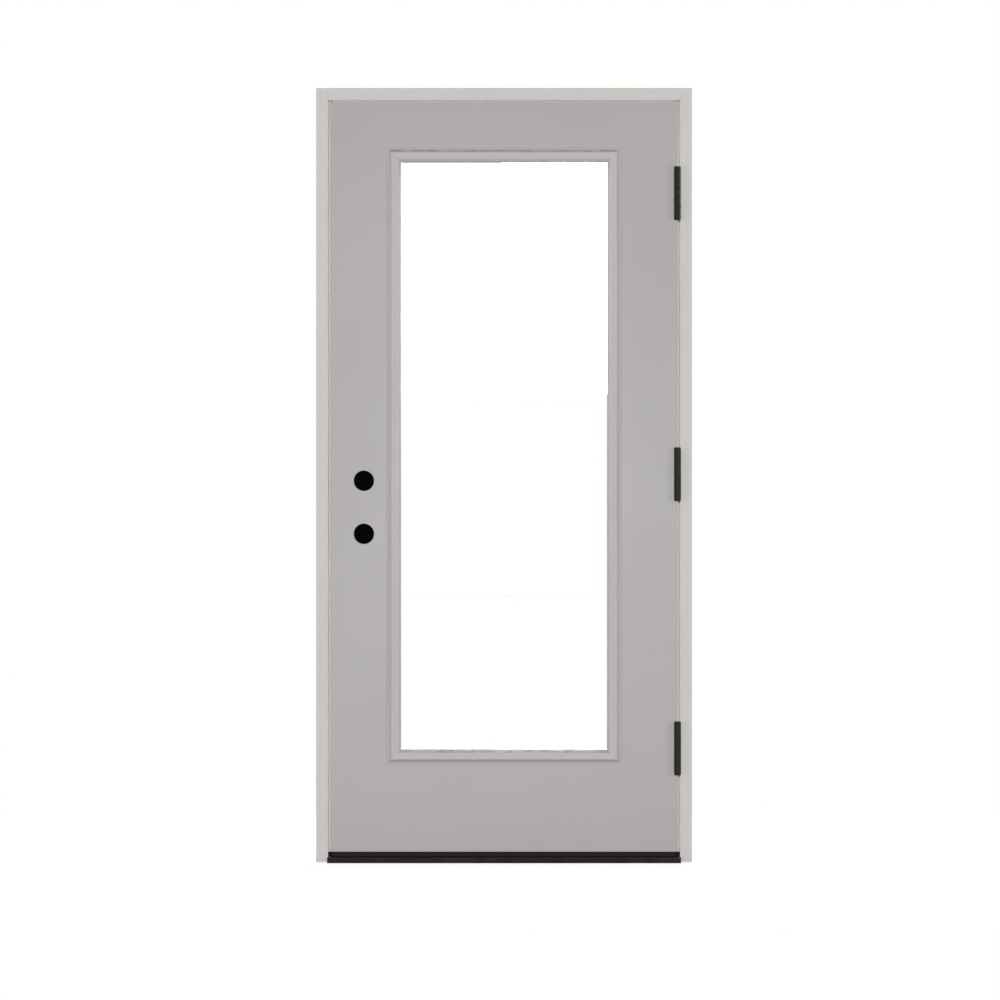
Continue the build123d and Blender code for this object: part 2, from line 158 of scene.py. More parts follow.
def make_piece(name, shells, body, finish, stands_for=(), mitre=0, sharp=35):
    """Makes one piece of the visual model from its shells, in place, and gives it to a body.
    mitre is the outline's number of points where the rings between stations are mitres."""
    points, faces, start = [], [], 0
    for shell_points, shell_faces in shells:
        points.append(shell_points * MM)
        for group in shell_faces:
            faces.extend((group + start).tolist())
        start += len(shell_points)
    mesh = bpy.data.meshes.new(name)
    mesh.from_pydata(np.concatenate(points).tolist(), [], faces)
    close_and_face_outwards(mesh)
    mesh.polygons.foreach_set("use_smooth", np.ones(len(mesh.polygons), bool))
    mesh.set_sharp_from_angle(angle=math.radians(sharp))
    if mitre:
        sharpen_mitres(mesh, mitre)
    mesh.materials.append(finish)
    piece = bpy.data.objects.new(name, mesh)
    bpy.context.scene.collection.objects.link(piece)
    piece.modifiers.new("flats_stay_flat", "WEIGHTED_NORMAL").keep_sharp = True
    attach(piece, body)
    if stands_for:
        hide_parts(*stands_for)


def close_and_face_outwards(mesh):
    """Merges the points that meet at a pole and turns every face of a closed shell outwards."""
    work = bmesh.new()
    work.from_mesh(mesh)
    bmesh.ops.remove_doubles(work, verts=work.verts, dist=1e-7)
    bmesh.ops.recalc_face_normals(work, faces=work.faces)
    work.to_mesh(mesh)
    work.free()


def sharpen_mitres(mesh, columns):
    """Marks as sharp each edge whose two ends belong to the same station."""
    ends = np.empty(len(mesh.edges) * 2, np.int32)
    mesh.edges.foreach_get("vertices", ends)
    sharp = np.empty(len(mesh.edges), bool)
    mesh.edges.foreach_get("use_edge_sharp", sharp)
    stations = ends.reshape(-1, 2) // columns
    mesh.edges.foreach_set("use_edge_sharp", sharp | (stations[:, 0] == stations[:, 1]))


# Shader parts


def feed(tree, socket, value):
    """Gives an input its value: a link where that is another socket, and a constant otherwise."""
    if isinstance(value, bpy.types.NodeSocket):
        tree.links.new(value, socket)
    else:
        socket.default_value = value


def feed_by_name(tree, sockets, values):
    """Feeds inputs by their names, in which an underscore stands for a space."""
    for key, value in values.items():
        feed(tree, sockets[key.replace("_", " ")], value)


def add_node(tree, kind, inputs=None, **settings):
    """Adds a node, sets it up, and gives each input a value or a link from a socket."""
    made = tree.nodes.new(kind)
    for key, value in settings.items():
        setattr(made, key, value)
    for key, value in (inputs or {}).items():
        feed(tree, made.inputs[key], value)
    return made


def maths(tree, operation, *values):
    """A Math node over one to three numbers or sockets."""
    inputs = dict(enumerate(values))
    return add_node(tree, "ShaderNodeMath", inputs, operation=operation).outputs[0]


def chain(tree, operation, first, *others):
    """One Math operation over two or more numbers or sockets, taken in turn."""
    for value in others:
        first = maths(tree, operation, first, value)
    return first


def vector_maths(tree, operation, first, second):
    """A Vector Math node over two vectors."""
    inputs = {0: first, 1: second}
    return add_node(tree, "ShaderNodeVectorMath", inputs, operation=operation).outputs


def split(tree, vector):
    """The X, Y and Z of a vector."""
    return add_node(tree, "ShaderNodeSeparateXYZ", {"Vector": vector}).outputs


def spread(tree, value, low, high, to_low=0.0, to_high=1.0):
    """Maps a value's range onto another one, and eases to a stop at its ends."""
    inputs = {"Value": value, "From Min": low, "From Max": high, "To Min": to_low, "To Max": to_high}
    eased = add_node(tree, "ShaderNodeMapRange", inputs, interpolation_type="SMOOTHSTEP")
    return eased.outputs["Result"]


def noise(tree, vector, scale, detail=2.0, roughness=0.5):
    """A noise texture's value. The scale is in features for each metre."""
    inputs = {"Vector": vector, "Scale": scale, "Detail": detail, "Roughness": roughness}
    return add_node(tree, "ShaderNodeTexNoise", inputs).outputs["Fac"]


def cells(tree, vector, scale):
    """How far off the middle of the nearest cell is. The scale is in cells for each metre."""
    inputs = {"Vector": vector, "Scale": scale}
    return add_node(tree, "ShaderNodeTexVoronoi", inputs).outputs["Distance"]


def blend(tree, share, first, second):
    """Mixes two colours by a share from 0 to 1."""
    inputs = {0: share, 6: first, 7: second}
    return add_node(tree, "ShaderNodeMix", inputs, data_type="RGBA").outputs[2]


def stretch(tree, vector, scale=(1, 1, 1), rotation=(0, 0, 0)):
    """Turns and stretches the coordinates that a pattern is read at."""
    inputs = {"Vector": vector, "Scale": scale, "Rotation": rotation}
    return add_node(tree, "ShaderNodeMapping", inputs).outputs["Vector"]


def soft_normal(tree, radius):
    """The surface's normal, turned round each edge within a radius in metres."""
    return add_node(tree, "ShaderNodeBevel", {"Radius": radius}, samples=4).outputs[0]


def new_group(name, inputs, outputs):
    """An empty shader group with named sockets. Each has a Vector, and its other inputs are given
    with their values: one number makes a float, three parts a vector and four a colour. An output
    is a colour where it is called Color, and a float otherwise."""
    tree = bpy.data.node_groups.new(name, "ShaderNodeTree")
    tree.interface.new_socket("Vector", in_out="INPUT", socket_type="NodeSocketVector")
    for label, value in inputs.items():
        kind = "NodeSocket" + {1: "Float", 3: "Vector", 4: "Color"}[np.size(value)]
        tree.interface.new_socket(label, in_out="INPUT", socket_type=kind).default_value = value
    for label in outputs:
        kind = "NodeSocketColor" if label == "Color" else "NodeSocketFloat"
        tree.interface.new_socket(label, in_out="OUTPUT", socket_type=kind)
    return tree, tree.nodes.new("NodeGroupInput").outputs, tree.nodes.new("NodeGroupOutput").inputs


def give(tree, result, **sockets):
    """Links what a group works out to its outputs, and returns the group."""
    for label, socket in sockets.items():
        tree.links.new(socket, result[label])
    return tree


def use(tree, group, vector, **inputs):
    """Places a shader group in a material, at some coordinates, and returns its outputs."""
    placed = add_node(tree, "ShaderNodeGroup", node_tree=group)
    feed_by_name(tree, placed.inputs, {"Vector": vector, **inputs})
    return placed.outputs


WHITE = (1.0, 1.0, 1.0, 1.0)


def paint_film_group():
    """Sprayed paint: a second colour in broad faint clouds, and a fine orange peel."""
    tree, given, result = new_group(
        "paint film",
        {"Color": WHITE, "Cloud Color": WHITE, "Cloud Scale": 3.0, "Peel Scale": 900.0},
        ("Color", "Cloud", "Height"),
    )
    clouds = noise(tree, given["Vector"], given["Cloud Scale"], detail=3.0)
    cloud = spread(tree, clouds, 0.25, 0.75)
    fine = noise(tree, given["Vector"], given["Peel Scale"], detail=1.0)
    coarse_scale = maths(tree, "MULTIPLY", given["Peel Scale"], 0.3)
    coarse = noise(tree, given["Vector"], coarse_scale, detail=1.0)
    shade = blend(tree, cloud, given["Color"], given["Cloud Color"])
    height = maths(tree, "MULTIPLY_ADD", coarse, 0.6, fine)
    return give(tree, result, Color=shade, Cloud=cloud, Height=height)


def wood_grain_group():
    """Sawn softwood: bands of late wood that wander along the grain, which runs along Z, and
    short pores. Ring Scale is in bands for each metre."""
    tree, given, result = new_group(
        "wood grain",
        {
            "Early Color": (0.6, 0.42, 0.24, 1.0),
            "Late Color": (0.42, 0.25, 0.11, 1.0),
            "Ring Scale": 60.0,
        },
        ("Color", "Height"),
    )
    long_vector = stretch(tree, given["Vector"], (1.0, 1.0, 0.06))
    wander = noise(tree, long_vector, 9.0, detail=2.0)
    across = split(tree, long_vector)
    distance = maths(tree, "ADD", across["X"], maths(tree, "MULTIPLY", across["Y"], 0.45))
    bent = maths(tree, "MULTIPLY_ADD", wander, 0.09, distance)
    phase = chain(tree, "MULTIPLY", bent, given["Ring Scale"], 2 * math.pi)
    band = spread(tree, maths(tree, "SINE", phase), -0.2, 1.0)
    pores = noise(tree, stretch(tree, given["Vector"], (1.0, 1.0, 0.03)), 1300.0, detail=1.0)
    pore = spread(tree, pores, 0.55, 0.75)
    colour = blend(tree, band, given["Early Color"], given["Late Color"])
    darkened = blend(tree, maths(tree, "MULTIPLY", pore, 0.35), colour, given["Late Color"])
    height = maths(tree, "SUBTRACT", maths(tree, "MULTIPLY", band, 0.7), pore)
    return give(tree, result, Color=darkened, Height=height)


def finger_joint_group():
    """A mask of the zigzag lines where lengths of jamb stock are finger jointed. The stock runs
    along Z: each line is a triangle wave across Y, repeated every Spacing along Z."""
    tree, given, result = new_group("finger joints", {"Spacing": 0.43, "Finger": 0.006}, ("Line",))
    place = split(tree, given["Vector"])
    zigzag = maths(tree, "PINGPONG", place["Y"], given["Finger"])
    lean = maths(tree, "MULTIPLY_ADD", zigzag, 2.0, place["Z"])
    repeat = maths(tree, "FLOORED_MODULO", lean, given["Spacing"])
    middle = maths(tree, "MULTIPLY", given["Spacing"], 0.5)
    away = maths(tree, "ABSOLUTE", maths(tree, "SUBTRACT", repeat, middle))
    return give(tree, result, Line=spread(tree, away, 0.0002, 0.0011, 1.0, 0.0))


def box_mask_group():
    """1 inside a box that is set by its lowest and highest corner, and 0 outside it, with a short
    soft edge: the least of the distances to the six faces, mapped onto 0 to 1."""
    tree, given, result = new_group(
        "box mask", {"Lowest": (-1.0, -1.0, -1.0), "Highest": (1.0, 1.0, 1.0)}, ("Mask",)
    )
    above = vector_maths(tree, "SUBTRACT", given["Vector"], given["Lowest"])[0]
    below = vector_maths(tree, "SUBTRACT", given["Highest"], given["Vector"])[0]
    least = vector_maths(tree, "MINIMUM", above, below)[0]
    nearest = chain(tree, "MINIMUM", *split(tree, least))
    return give(tree, result, Mask=spread(tree, nearest, -0.00005, 0.00005))


def worn_edge_group():
    """A mask of rubbed edges: where the rounded normal leaves the true one, broken by noise."""
    tree, given, result = new_group(
        "worn edges",
        {"Color": WHITE, "Worn Color": WHITE, "Amount": 0.5, "Radius": 0.0012},
        ("Color", "Mask"),
    )
    true_normal = add_node(tree, "ShaderNodeNewGeometry").outputs["Normal"]
    round_normal = soft_normal(tree, given["Radius"])
    agree = vector_maths(tree, "DOT_PRODUCT", true_normal, round_normal)["Value"]
    edge = spread(tree, agree, 0.98, 0.86)
    broken = spread(tree, noise(tree, given["Vector"], 120.0, detail=3.0), 0.42, 0.6)
    mask = chain(tree, "MULTIPLY", edge, broken, given["Amount"])
    shade = blend(tree, mask, given["Color"], given["Worn Color"])
    return give(tree, result, Color=shade, Mask=mask)


def top_dust_and_shade_group():
    """A second colour on what faces up, thicker in patches, as a colour and a mask: dust on the
    metals, bloom on the rubber, and painted shade on the lite mouldings.
    """
    tree, given, result = new_group(
        "dust and shade on top",
        {"Color": WHITE, "Dust Color": (0.45, 0.42, 0.38, 1.0), "Amount": 0.3},
        ("Color", "Mask"),
    )
    normal = add_node(tree, "ShaderNodeNewGeometry").outputs["Normal"]
    facing = spread(tree, split(tree, normal)["Z"], 0.25, 0.95)
    patches = spread(tree, noise(tree, given["Vector"], 35.0, detail=4.0), 0.35, 0.7)
    mask = chain(tree, "MULTIPLY", facing, patches, given["Amount"])
    shade = blend(tree, mask, given["Color"], given["Dust Color"])
    return give(tree, result, Color=shade, Mask=mask)


def recess_shade_group():
    """Painted shade in grooves and corners: darkens where a short way out of the surface is closed in.
    """
    tree, given, result = new_group(
        "painted recess shade",
        {"Color": WHITE, "Grime Color": (0.02, 0.02, 0.02, 1.0), "Amount": 0.8, "Reach": 0.005},
        ("Color", "Mask"),
    )
    inputs = {"Distance": given["Reach"]}
    shaded = add_node(tree, "ShaderNodeAmbientOcclusion", inputs, samples=8, only_local=True)
    patches = spread(tree, noise(tree, given["Vector"], 45.0, detail=3.0), 0.3, 0.6, 0.7, 1.0)
    closed = spread(tree, shaded.outputs["AO"], 0.98, 0.62)
    mask = chain(tree, "MULTIPLY", closed, patches, given["Amount"])
    shade = blend(tree, mask, given["Color"], given["Grime Color"])
    return give(tree, result, Color=shade, Mask=mask)


def drawn_line_group():
    """Fine lines left by a die, along X: noise that is stretched a thousandfold along the draw."""
    tree, given, result = new_group("drawn lines", {"Scale": 700.0}, ("Line",))
    drawn = stretch(tree, given["Vector"], (0.001, 1.0, 1.0))
    return give(tree, result, Line=noise(tree, drawn, given["Scale"], detail=2.0))


paint_film = paint_film_group()
wood_grain = wood_grain_group()
finger_joints = finger_joint_group()
box_mask = box_mask_group()
worn_edges = worn_edge_group()
top_dust_and_shade = top_dust_and_shade_group()
recess_shade = recess_shade_group()
drawn_lines = drawn_line_group()


# Finishes

GRAIN_UP = (0, 0, 0)
GRAIN_LEVEL = (0, math.pi / 2, 0)
EDGE_SKIN = 0.3
MASK_EASE = 0.1
RABBET_REACH = 6.0
LITE_EDGE = 1.2
GLASS_LINE = 4.0
FAR = 3000.0
rabbet_half = seal_high[0] + EDGE_SKIN + MASK_EASE
rabbet_top = span("head_weatherstrip")[1][2] + EDGE_SKIN + MASK_EASE
# Where the jamb's rabbet is painted white: a painted light in the reveal between slab and jamb.
LIGHTENED_RABBET = (
    (-rabbet_half, front + EDGE_SKIN, 0.0),
    (rabbet_half, seal_low[1] + RABBET_REACH, rabbet_top),
)
# The mouldings' foot, within LITE_EDGE of the slab's faces, is painted in the slab's colour: a painted
# shade where the moulding meets the slab.
SHADED_FOOT = ((-FAR, front - LITE_EDGE, 0.0), (FAR, slab_back + LITE_EDGE, FAR))
# The mouldings' sides within GLASS_LINE of the glass are painted darker: a painted shade on the inner
# slopes.
SHADED_BESIDE_GLASS = (
    (-glass_half - GLASS_LINE, -FAR, glass_bottom),
    (glass_half + GLASS_LINE, FAR, glass_top),
)
INSIDE_SLAB = (
    (-slab_half + EDGE_SKIN, -FAR, slab_low[2] + EDGE_SKIN),
    (slab_half - EDGE_SKIN, FAR, slab_high[2] - EDGE_SKIN),
)


def colour(red, green, blue):
    """A colour as it looks on a screen, from 0 to 255, as the shader's linear values."""
    seen = np.array([red, green, blue]) / 255
    linear = np.where(seen <= 0.04045, seen / 12.92, ((seen + 0.055) / 1.055) ** 2.4)
    return (*linear.tolist(), 1.0)


# A white lighter than the paints around it, for the jamb's rabbet and the slab's edges: a painted light
# that lifts the shade in the reveal.
REVEAL_WHITE = colour(238, 235, 231)
BARE_WOOD = {"Early_Color": colour(204, 172, 128), "Late_Color": colour(164, 124, 80)}


def new_finish(name, **constants):
    """A material with one Principled shader, whose constants are set on its own sockets. Returns
    it, its tree, its shader and the coordinates that its patterns are read at."""
    finish = bpy.data.materials.new(name)
    finish.use_nodes = True
    tree = finish.node_tree
    shader = tree.nodes["Principled BSDF"]
    feed_by_name(tree, shader.inputs, constants)
    return finish, tree, shader, add_node(tree, "ShaderNodeTexCoord").outputs["Object"]


def within(tree, place, box):
    """A mask of what lies inside a box, whose two corners are in millimetres."""
    lowest, highest = (np.array(box) * MM).tolist()
    return use(tree, box_mask, place, Lowest=lowest, Highest=highest)["Mask"]


def sprayed(tree, place, paint, cloud, cloud_scale, peel_scale):
    """A paint film of two near colours."""
    scales = {"Cloud_Scale": cloud_scale, "Peel_Scale": peel_scale}
    return use(tree, paint_film, place, Color=paint, Cloud_Color=cloud, **scales)


def finish_surface(tree, shader, base, roughness, height, strength, depth, soft_edge=0.0):
    """Gives the shader a colour, a roughness and a bump. soft_edge is the radius, in metres, at
    which the bump's own normal rounds the sharp edges of a sawn or folded piece."""
    bump = {"Height": height, "Strength": strength, "Distance": depth}
    if soft_edge:
        bump["Normal"] = soft_normal(tree, soft_edge)
    feed(tree, shader.inputs["Base Color"], base)
    feed(tree, shader.inputs["Roughness"], roughness)
    feed(tree, shader.inputs["Normal"], add_node(tree, "ShaderNodeBump", bump).outputs["Normal"])


def painted_wood(name, paint, cloud, grain_turn, joint_spacing):
    """Primed, finger-jointed stock: the grain and the joints show faintly through the paint. The
    rabbet that the slab closes into is painted a smooth white instead, lighter than the jamb: a
    painted light that lifts the shade in the reveal."""
    finish, tree, shader, place = new_finish(name, Specular_IOR_Level=0.35)
    along = stretch(tree, place, rotation=grain_turn)
    film = sprayed(tree, place, paint, cloud, 4.0, 1100.0)
    grain = use(tree, wood_grain, along, Ring_Scale=85.0)
    joint = use(tree, finger_joints, along, Spacing=joint_spacing)["Line"]
    lightened_rabbet = within(tree, place, LIGHTENED_RABBET)
    shade = blend(tree, maths(tree, "MULTIPLY", joint, 0.1), film["Color"], colour(150, 143, 134))
    worn = use(tree, worn_edges, place, Color=shade, Worn_Color=colour(214, 210, 205), Amount=0.5)
    # The rabbet's white is painted light that lifts the shade in the reveal.
    base = blend(tree, lightened_rabbet, worn["Color"], REVEAL_WHITE)
    coat = maths(tree, "MULTIPLY", film["Height"], 0.5)
    relief = maths(tree, "MULTIPLY_ADD", grain["Height"], 0.35, coat)
    joined = maths(tree, "SUBTRACT", relief, maths(tree, "MULTIPLY", joint, 0.6))
    height = maths(tree, "MULTIPLY", joined, maths(tree, "SUBTRACT", 1.0, lightened_rabbet))
    primed = spread(tree, film["Cloud"], 0.0, 1.0, 0.5, 0.58)
    inputs = {0: lightened_rabbet, 2: primed, 3: 0.1}
    rough = add_node(tree, "ShaderNodeMix", inputs, data_type="FLOAT").outputs[0]
    finish_surface(tree, shader, base, rough, height, 0.5, 0.00012, 0.0006)
    return finish


def slab_edge(name, grain_turn, joint_spacing):
    """Edges of the slab: the same white as the jamb's rabbet, a painted light that lifts the shade in
    the reveal, over wood that shows bare inside the bores.
    """
    finish, tree, shader, place = new_finish(name, Specular_IOR_Level=0.35)
    along = stretch(tree, place, rotation=grain_turn)
    # The white film is painted light for the reveal; bare wood shows inside the bores.
    film = sprayed(tree, place, REVEAL_WHITE, colour(232, 229, 225), 4.0, 1100.0)
    grain = use(tree, wood_grain, along, **BARE_WOOD)
    joint = use(tree, finger_joints, along, Spacing=joint_spacing)["Line"]
    bare = within(tree, place, INSIDE_SLAB)
    shade = blend(tree, maths(tree, "MULTIPLY", joint, 0.1), film["Color"], colour(180, 174, 166))
    base = blend(tree, bare, shade, grain["Color"])
    rough = spread(tree, bare, 0.0, 1.0, 0.3, 0.75)
    coat = maths(tree, "MULTIPLY", film["Height"], 0.4)
    relief = maths(tree, "MULTIPLY_ADD", grain["Height"], 0.3, coat)
    finish_surface(tree, shader, base, rough, relief, 0.4, 0.0001, 0.0005)
    return finish


def slab_paint():
    """Factory primer on the sheet steel skins: even, faintly clouded, with a fine orange peel."""
    finish, tree, shader, place = new_finish("slab_paint", Specular_IOR_Level=0.2)
    film = sprayed(tree, place, colour(172, 168, 169), colour(169, 165, 166), 1.6, 1400.0)
    rubbed = colour(196, 193, 192)
    worn = use(tree, worn_edges, place, Color=film["Color"], Worn_Color=rubbed, Amount=0.4)
    rough = spread(tree, film["Cloud"], 0.0, 1.0, 0.27, 0.3)
    finish_surface(tree, shader, worn["Color"], rough, film["Height"], 0.15, 0.00004, 0.0004)
    return finish


def raw_wood():
    """Bare softwood, its grain upright, that shows inside the bores."""
    finish, tree, shader, place = new_finish("raw_wood", Specular_IOR_Level=0.25)
    grain = use(tree, wood_grain, place, Ring_Scale=110.0, **BARE_WOOD)
    finish_surface(tree, shader, grain["Color"], 0.75, grain["Height"], 0.6, 0.0002, 0.0004)
    return finish


def foam():
    """Cut face of the rigid foam that fills the slab: small cells."""
    finish, tree, shader, place = new_finish("foam", Specular_IOR_Level=0.15)
    cell = cells(tree, place, 900.0)
    share = spread(tree, cell, 0.1, 0.8)
    base = blend(tree, share, colour(206, 188, 136), colour(231, 216, 170))
    finish_surface(tree, shader, base, 0.95, cell, 0.8, 0.0004)
    return finish


def lite_plastic():
    """Moulded plastic of the lite frames: satin, with the mould's fine texture. Whatever is no higher
    than the foot is painted in the slab's colour, a painted shade where the moulding meets the slab.
    A darker strip follows the glass up both sides, a painted shade on the inner slopes, and what
    faces up is darker too, a painted shade on the up-facing slopes."""
    finish, tree, shader, place = new_finish("lite_plastic", Specular_IOR_Level=0.3)
    film = sprayed(tree, place, colour(188, 184, 185), colour(185, 181, 183), 2.5, 2200.0)
    # Painted shade: a darker strip along the glass at both sides, and the slab's colour on the foot.
    shaded_by_glass = blend(tree, within(tree, place, SHADED_BESIDE_GLASS), film["Color"], colour(171, 167, 167))
    shade = blend(tree, within(tree, place, SHADED_FOOT), shaded_by_glass, colour(171, 167, 168))
    # The darker colour on what faces up is painted shade on the up-facing slopes.
    dust_and_top_shade = use(tree, top_dust_and_shade, place, Color=shade, Dust_Color=colour(124, 117, 108), Amount=0.5)
    rough = spread(tree, film["Cloud"], 0.0, 1.0, 0.4, 0.46)
    finish_surface(tree, shader, dust_and_top_shade["Color"], rough, film["Height"], 0.25, 0.00005)
    return finish


def clear_glass():
    """Float glass, clear to a lamp's light, with a film of dust that only just roughens it."""
    finish, tree, shader, place = new_finish(
        "clear_glass", Base_Color=WHITE, Transmission_Weight=1.0, IOR=1.45
    )
    streaks = noise(tree, stretch(tree, place, (1.0, 1.0, 0.3)), 14.0, detail=4.0)
    feed(tree, shader.inputs["Roughness"], spread(tree, streaks, 0.45, 0.8, 0.0, 0.012))
    ray = add_node(tree, "ShaderNodeLightPath").outputs["Is Shadow Ray"]
    open_to_light = add_node(tree, "ShaderNodeBsdfTransparent").outputs[0]
    mixed = add_node(tree, "ShaderNodeMixShader", {0: ray, 1: shader.outputs[0], 2: open_to_light})
    tree.links.new(mixed.outputs[0], tree.nodes["Material Output"].inputs["Surface"])
    return finish


def drawn_metal(name, base, sheen, rough_low, rough_high, dust):
    """Extruded or rolled metal: die lines along X, a clouded finish, dust on its upper faces and
    painted shade in its grooves and corners.
    """
    finish, tree, shader, place = new_finish(name, Metallic=1.0)
    line = use(tree, drawn_lines, place, Scale=650.0)["Line"]
    shade = blend(tree, spread(tree, line, 0.3, 0.7), base, sheen)
    worn = use(
        tree, worn_edges, place, Color=shade, Worn_Color=sheen, Amount=0.5, Radius=0.0008
    )["Color"]
    # Near black in grooves and corners: painted shade.
    recess_shaded = use(
        tree, recess_shade, place, Color=worn, Grime_Color=colour(6, 5, 6), Amount=0.95
    )["Color"]
    dust_and_top_shade = use(tree, top_dust_and_shade, place, Color=recess_shaded, Dust_Color=colour(74, 68, 66), Amount=dust)
    clouds = noise(tree, place, 9.0, detail=3.0)
    clean = spread(tree, clouds, 0.3, 0.7, rough_low, rough_high)
    rough = maths(tree, "MULTIPLY_ADD", dust_and_top_shade["Mask"], 0.4, clean)
    finish_surface(tree, shader, dust_and_top_shade["Color"], rough, line, 0.35, 0.00006)
    return finish


def sill_board():
    """Composite board under the sill: pressed flakes in two browns."""
    finish, tree, shader, place = new_finish("sill_board", Specular_IOR_Level=0.25)
    flakes = cells(tree, stretch(tree, place, (0.4, 1, 1)), 260.0)
    base = blend(tree, flakes, colour(104, 96, 88), colour(134, 124, 112))
    finish_surface(tree, shader, base, 0.8, flakes, 0.4, 0.0002, 0.0005)
    return finish


def soft_rubber(name, base, light, pore_scale, rough, bump, shine=0.3):
    """Foam or solid rubber skin: fine pores and a slight bloom where it faces up."""
    finish, tree, shader, place = new_finish(name, Specular_IOR_Level=shine)
    pores = noise(tree, place, pore_scale, detail=3.0, roughness=0.65)
    skin = noise(tree, place, pore_scale * 0.12)
    shade = blend(tree, spread(tree, skin, 0.35, 0.65), base, light)
    bloom = colour(150, 146, 140)
    dust_and_top_shade = use(tree, top_dust_and_shade, place, Color=shade, Dust_Color=bloom, Amount=0.12)
    height = maths(tree, "MULTIPLY_ADD", skin, 0.8, pores)
    finish_surface(tree, shader, dust_and_top_shade["Color"], rough, height, 0.5, bump)
    return finish


def hinge_black():
    """Black powder coat on steel: satin, finely pebbled, with grey showing at rubbed edges."""
    finish, tree, shader, place = new_finish("hinge_black", Specular_IOR_Level=0.13)
    film = sprayed(tree, place, colour(22, 25, 21), colour(27, 30, 26), 30.0, 2600.0)
    worn = use(
        tree, worn_edges, place, Color=film["Color"], Worn_Color=colour(70, 72, 69),
        Amount=0.35, Radius=0.0005,
    )
    rough = spread(tree, film["Cloud"], 0.0, 1.0, 0.26, 0.32)
    finish_surface(tree, shader, worn["Color"], rough, film["Height"], 0.2, 0.00003)
    return finish


def black_plastic():
    """Matt black moulded plastic of the bore covers: a fine spark-eroded texture. Its near pure
    black with almost no shine is painted shade that stands in for the dark inside the bores.
    """
    finish, tree, shader, place = new_finish("black_plastic", Specular_IOR_Level=0.03)
    film = sprayed(tree, place, colour(4, 4, 5), colour(7, 7, 8), 60.0, 3000.0)
    rough = spread(tree, film["Cloud"], 0.0, 1.0, 0.62, 0.75)
    finish_surface(tree, shader, film["Color"], rough, film["Height"], 0.4, 0.00006)
    return finish


def dress(finish, *nodes):
    """Gives a finish to nodes of the frame."""
    for node in nodes:
        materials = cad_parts[node].data.materials
        materials.clear()
        materials.append(finish)


jamb_upright = painted_wood(
    "jamb_paint_upright", colour(203, 199, 196), colour(200, 197, 194), GRAIN_UP, 0.43
)
jamb_level = painted_wood(
    "jamb_paint_level", colour(203, 199, 195), colour(201, 197, 195), GRAIN_LEVEL, 0.37
)
spacer_metal = drawn_metal(
    "spacer_metal", colour(176, 178, 181), colour(196, 198, 200), 0.3, 0.4, 0.0
)
sill_metal = drawn_metal("sill_metal", colour(41, 35, 41), colour(50, 44, 50), 0.36, 0.44, 0.12)
bedding_tape = soft_rubber(
    "glazing_tape", colour(116, 114, 112), colour(126, 124, 122), 1500.0, 0.85, 0.0001
)
seal_foam = soft_rubber("seal", colour(222, 220, 216), colour(227, 225, 222), 1800.0, 0.8, 0.00015)
# The head's seal is painted lighter than the side seals: a painted light that lifts the shade in the
# head's reveal.
lightened_head_seal = soft_rubber(
    "head_seal", colour(246, 244, 240), colour(250, 248, 245), 1800.0, 0.8, 0.00015
)
sweep_rubber = soft_rubber(
    "black_rubber", colour(30, 25, 31), colour(35, 30, 36), 1600.0, 0.6, 0.0001, shine=0.1
)
moulded_plastic = lite_plastic()
coated_steel = hinge_black()
cover_plastic = black_plastic()

dress(jamb_upright, "hinge_jamb", "strike_jamb")
dress(jamb_level, "head_jamb")
dress(sill_board(), "threshold_base")
dress(slab_paint(), "outside_skin", "inside_skin")
dress(slab_edge("slab_edge_upright", GRAIN_UP, 0.51), "latch_stile", "hinge_stile")
dress(slab_edge("slab_edge_level", GRAIN_LEVEL, 0.47), "top_rail", "bottom_rail")
dress(foam(), "foam_core")
dress(raw_wood(), "lock_block")
dress(clear_glass(), "outside_pane", "inside_pane")
dress(spacer_metal, "glass_spacer")
dress(bedding_tape, "outside_glazing_tape", "inside_glazing_tape")


# Lite mouldings

LITE_WALL = 8.0
LITE_SLOPE = 8.0
LITE_SHOULDER = 11.5
LITE_FOOT = 3.0
LITE_FOOT_EDGE = 0.3
LITE_CROWN_FALL = 3.0
LITE_LAP = 18.5
LITE_SKIRT = 8.0
LITE_RADII = (0.1, 0.3, 0.2, 0.2, 0.3, 0.3, 1.0, 4.0)
OGEE_POINTS = 34


def lite_outline():
    """Closed outline of the moulding as (distance out from the glass, height off the slab's
    middle): from the foot on the slab, round the skirt, up the wall at the glass and over
    the slope and crown on rounded corners, then down an ogee that is half a cosine wave."""
    face = slab_back - slab_mid
    skirt_out = lite_width - LITE_LAP
    skirt_in = skirt_out - LITE_SKIRT
    crown_end = lite_width - LITE_FOOT - LITE_SHOULDER
    corners = [
        (lite_width, face + LITE_FOOT_EDGE),
        (lite_width, face),
        (skirt_out, face),
        (skirt_out, 0),
        (skirt_in, 0),
        (skirt_in, bedding),
        (0, bedding),
        (0, bedding + LITE_WALL),
        (LITE_SLOPE, lite_crown - LITE_CROWN_FALL),
        (crown_end, lite_crown),
    ]
    share = np.linspace(0, 1, OGEE_POINTS)[1:]
    fall = (lite_crown - face - LITE_EDGE) * (0.5 - 0.5 * np.cos(np.pi * share))
    ogee = np.column_stack((crown_end + LITE_SHOULDER * share, lite_crown - fall))
    return np.concatenate((rounded(corners, LITE_RADII, closed=False), ogee))


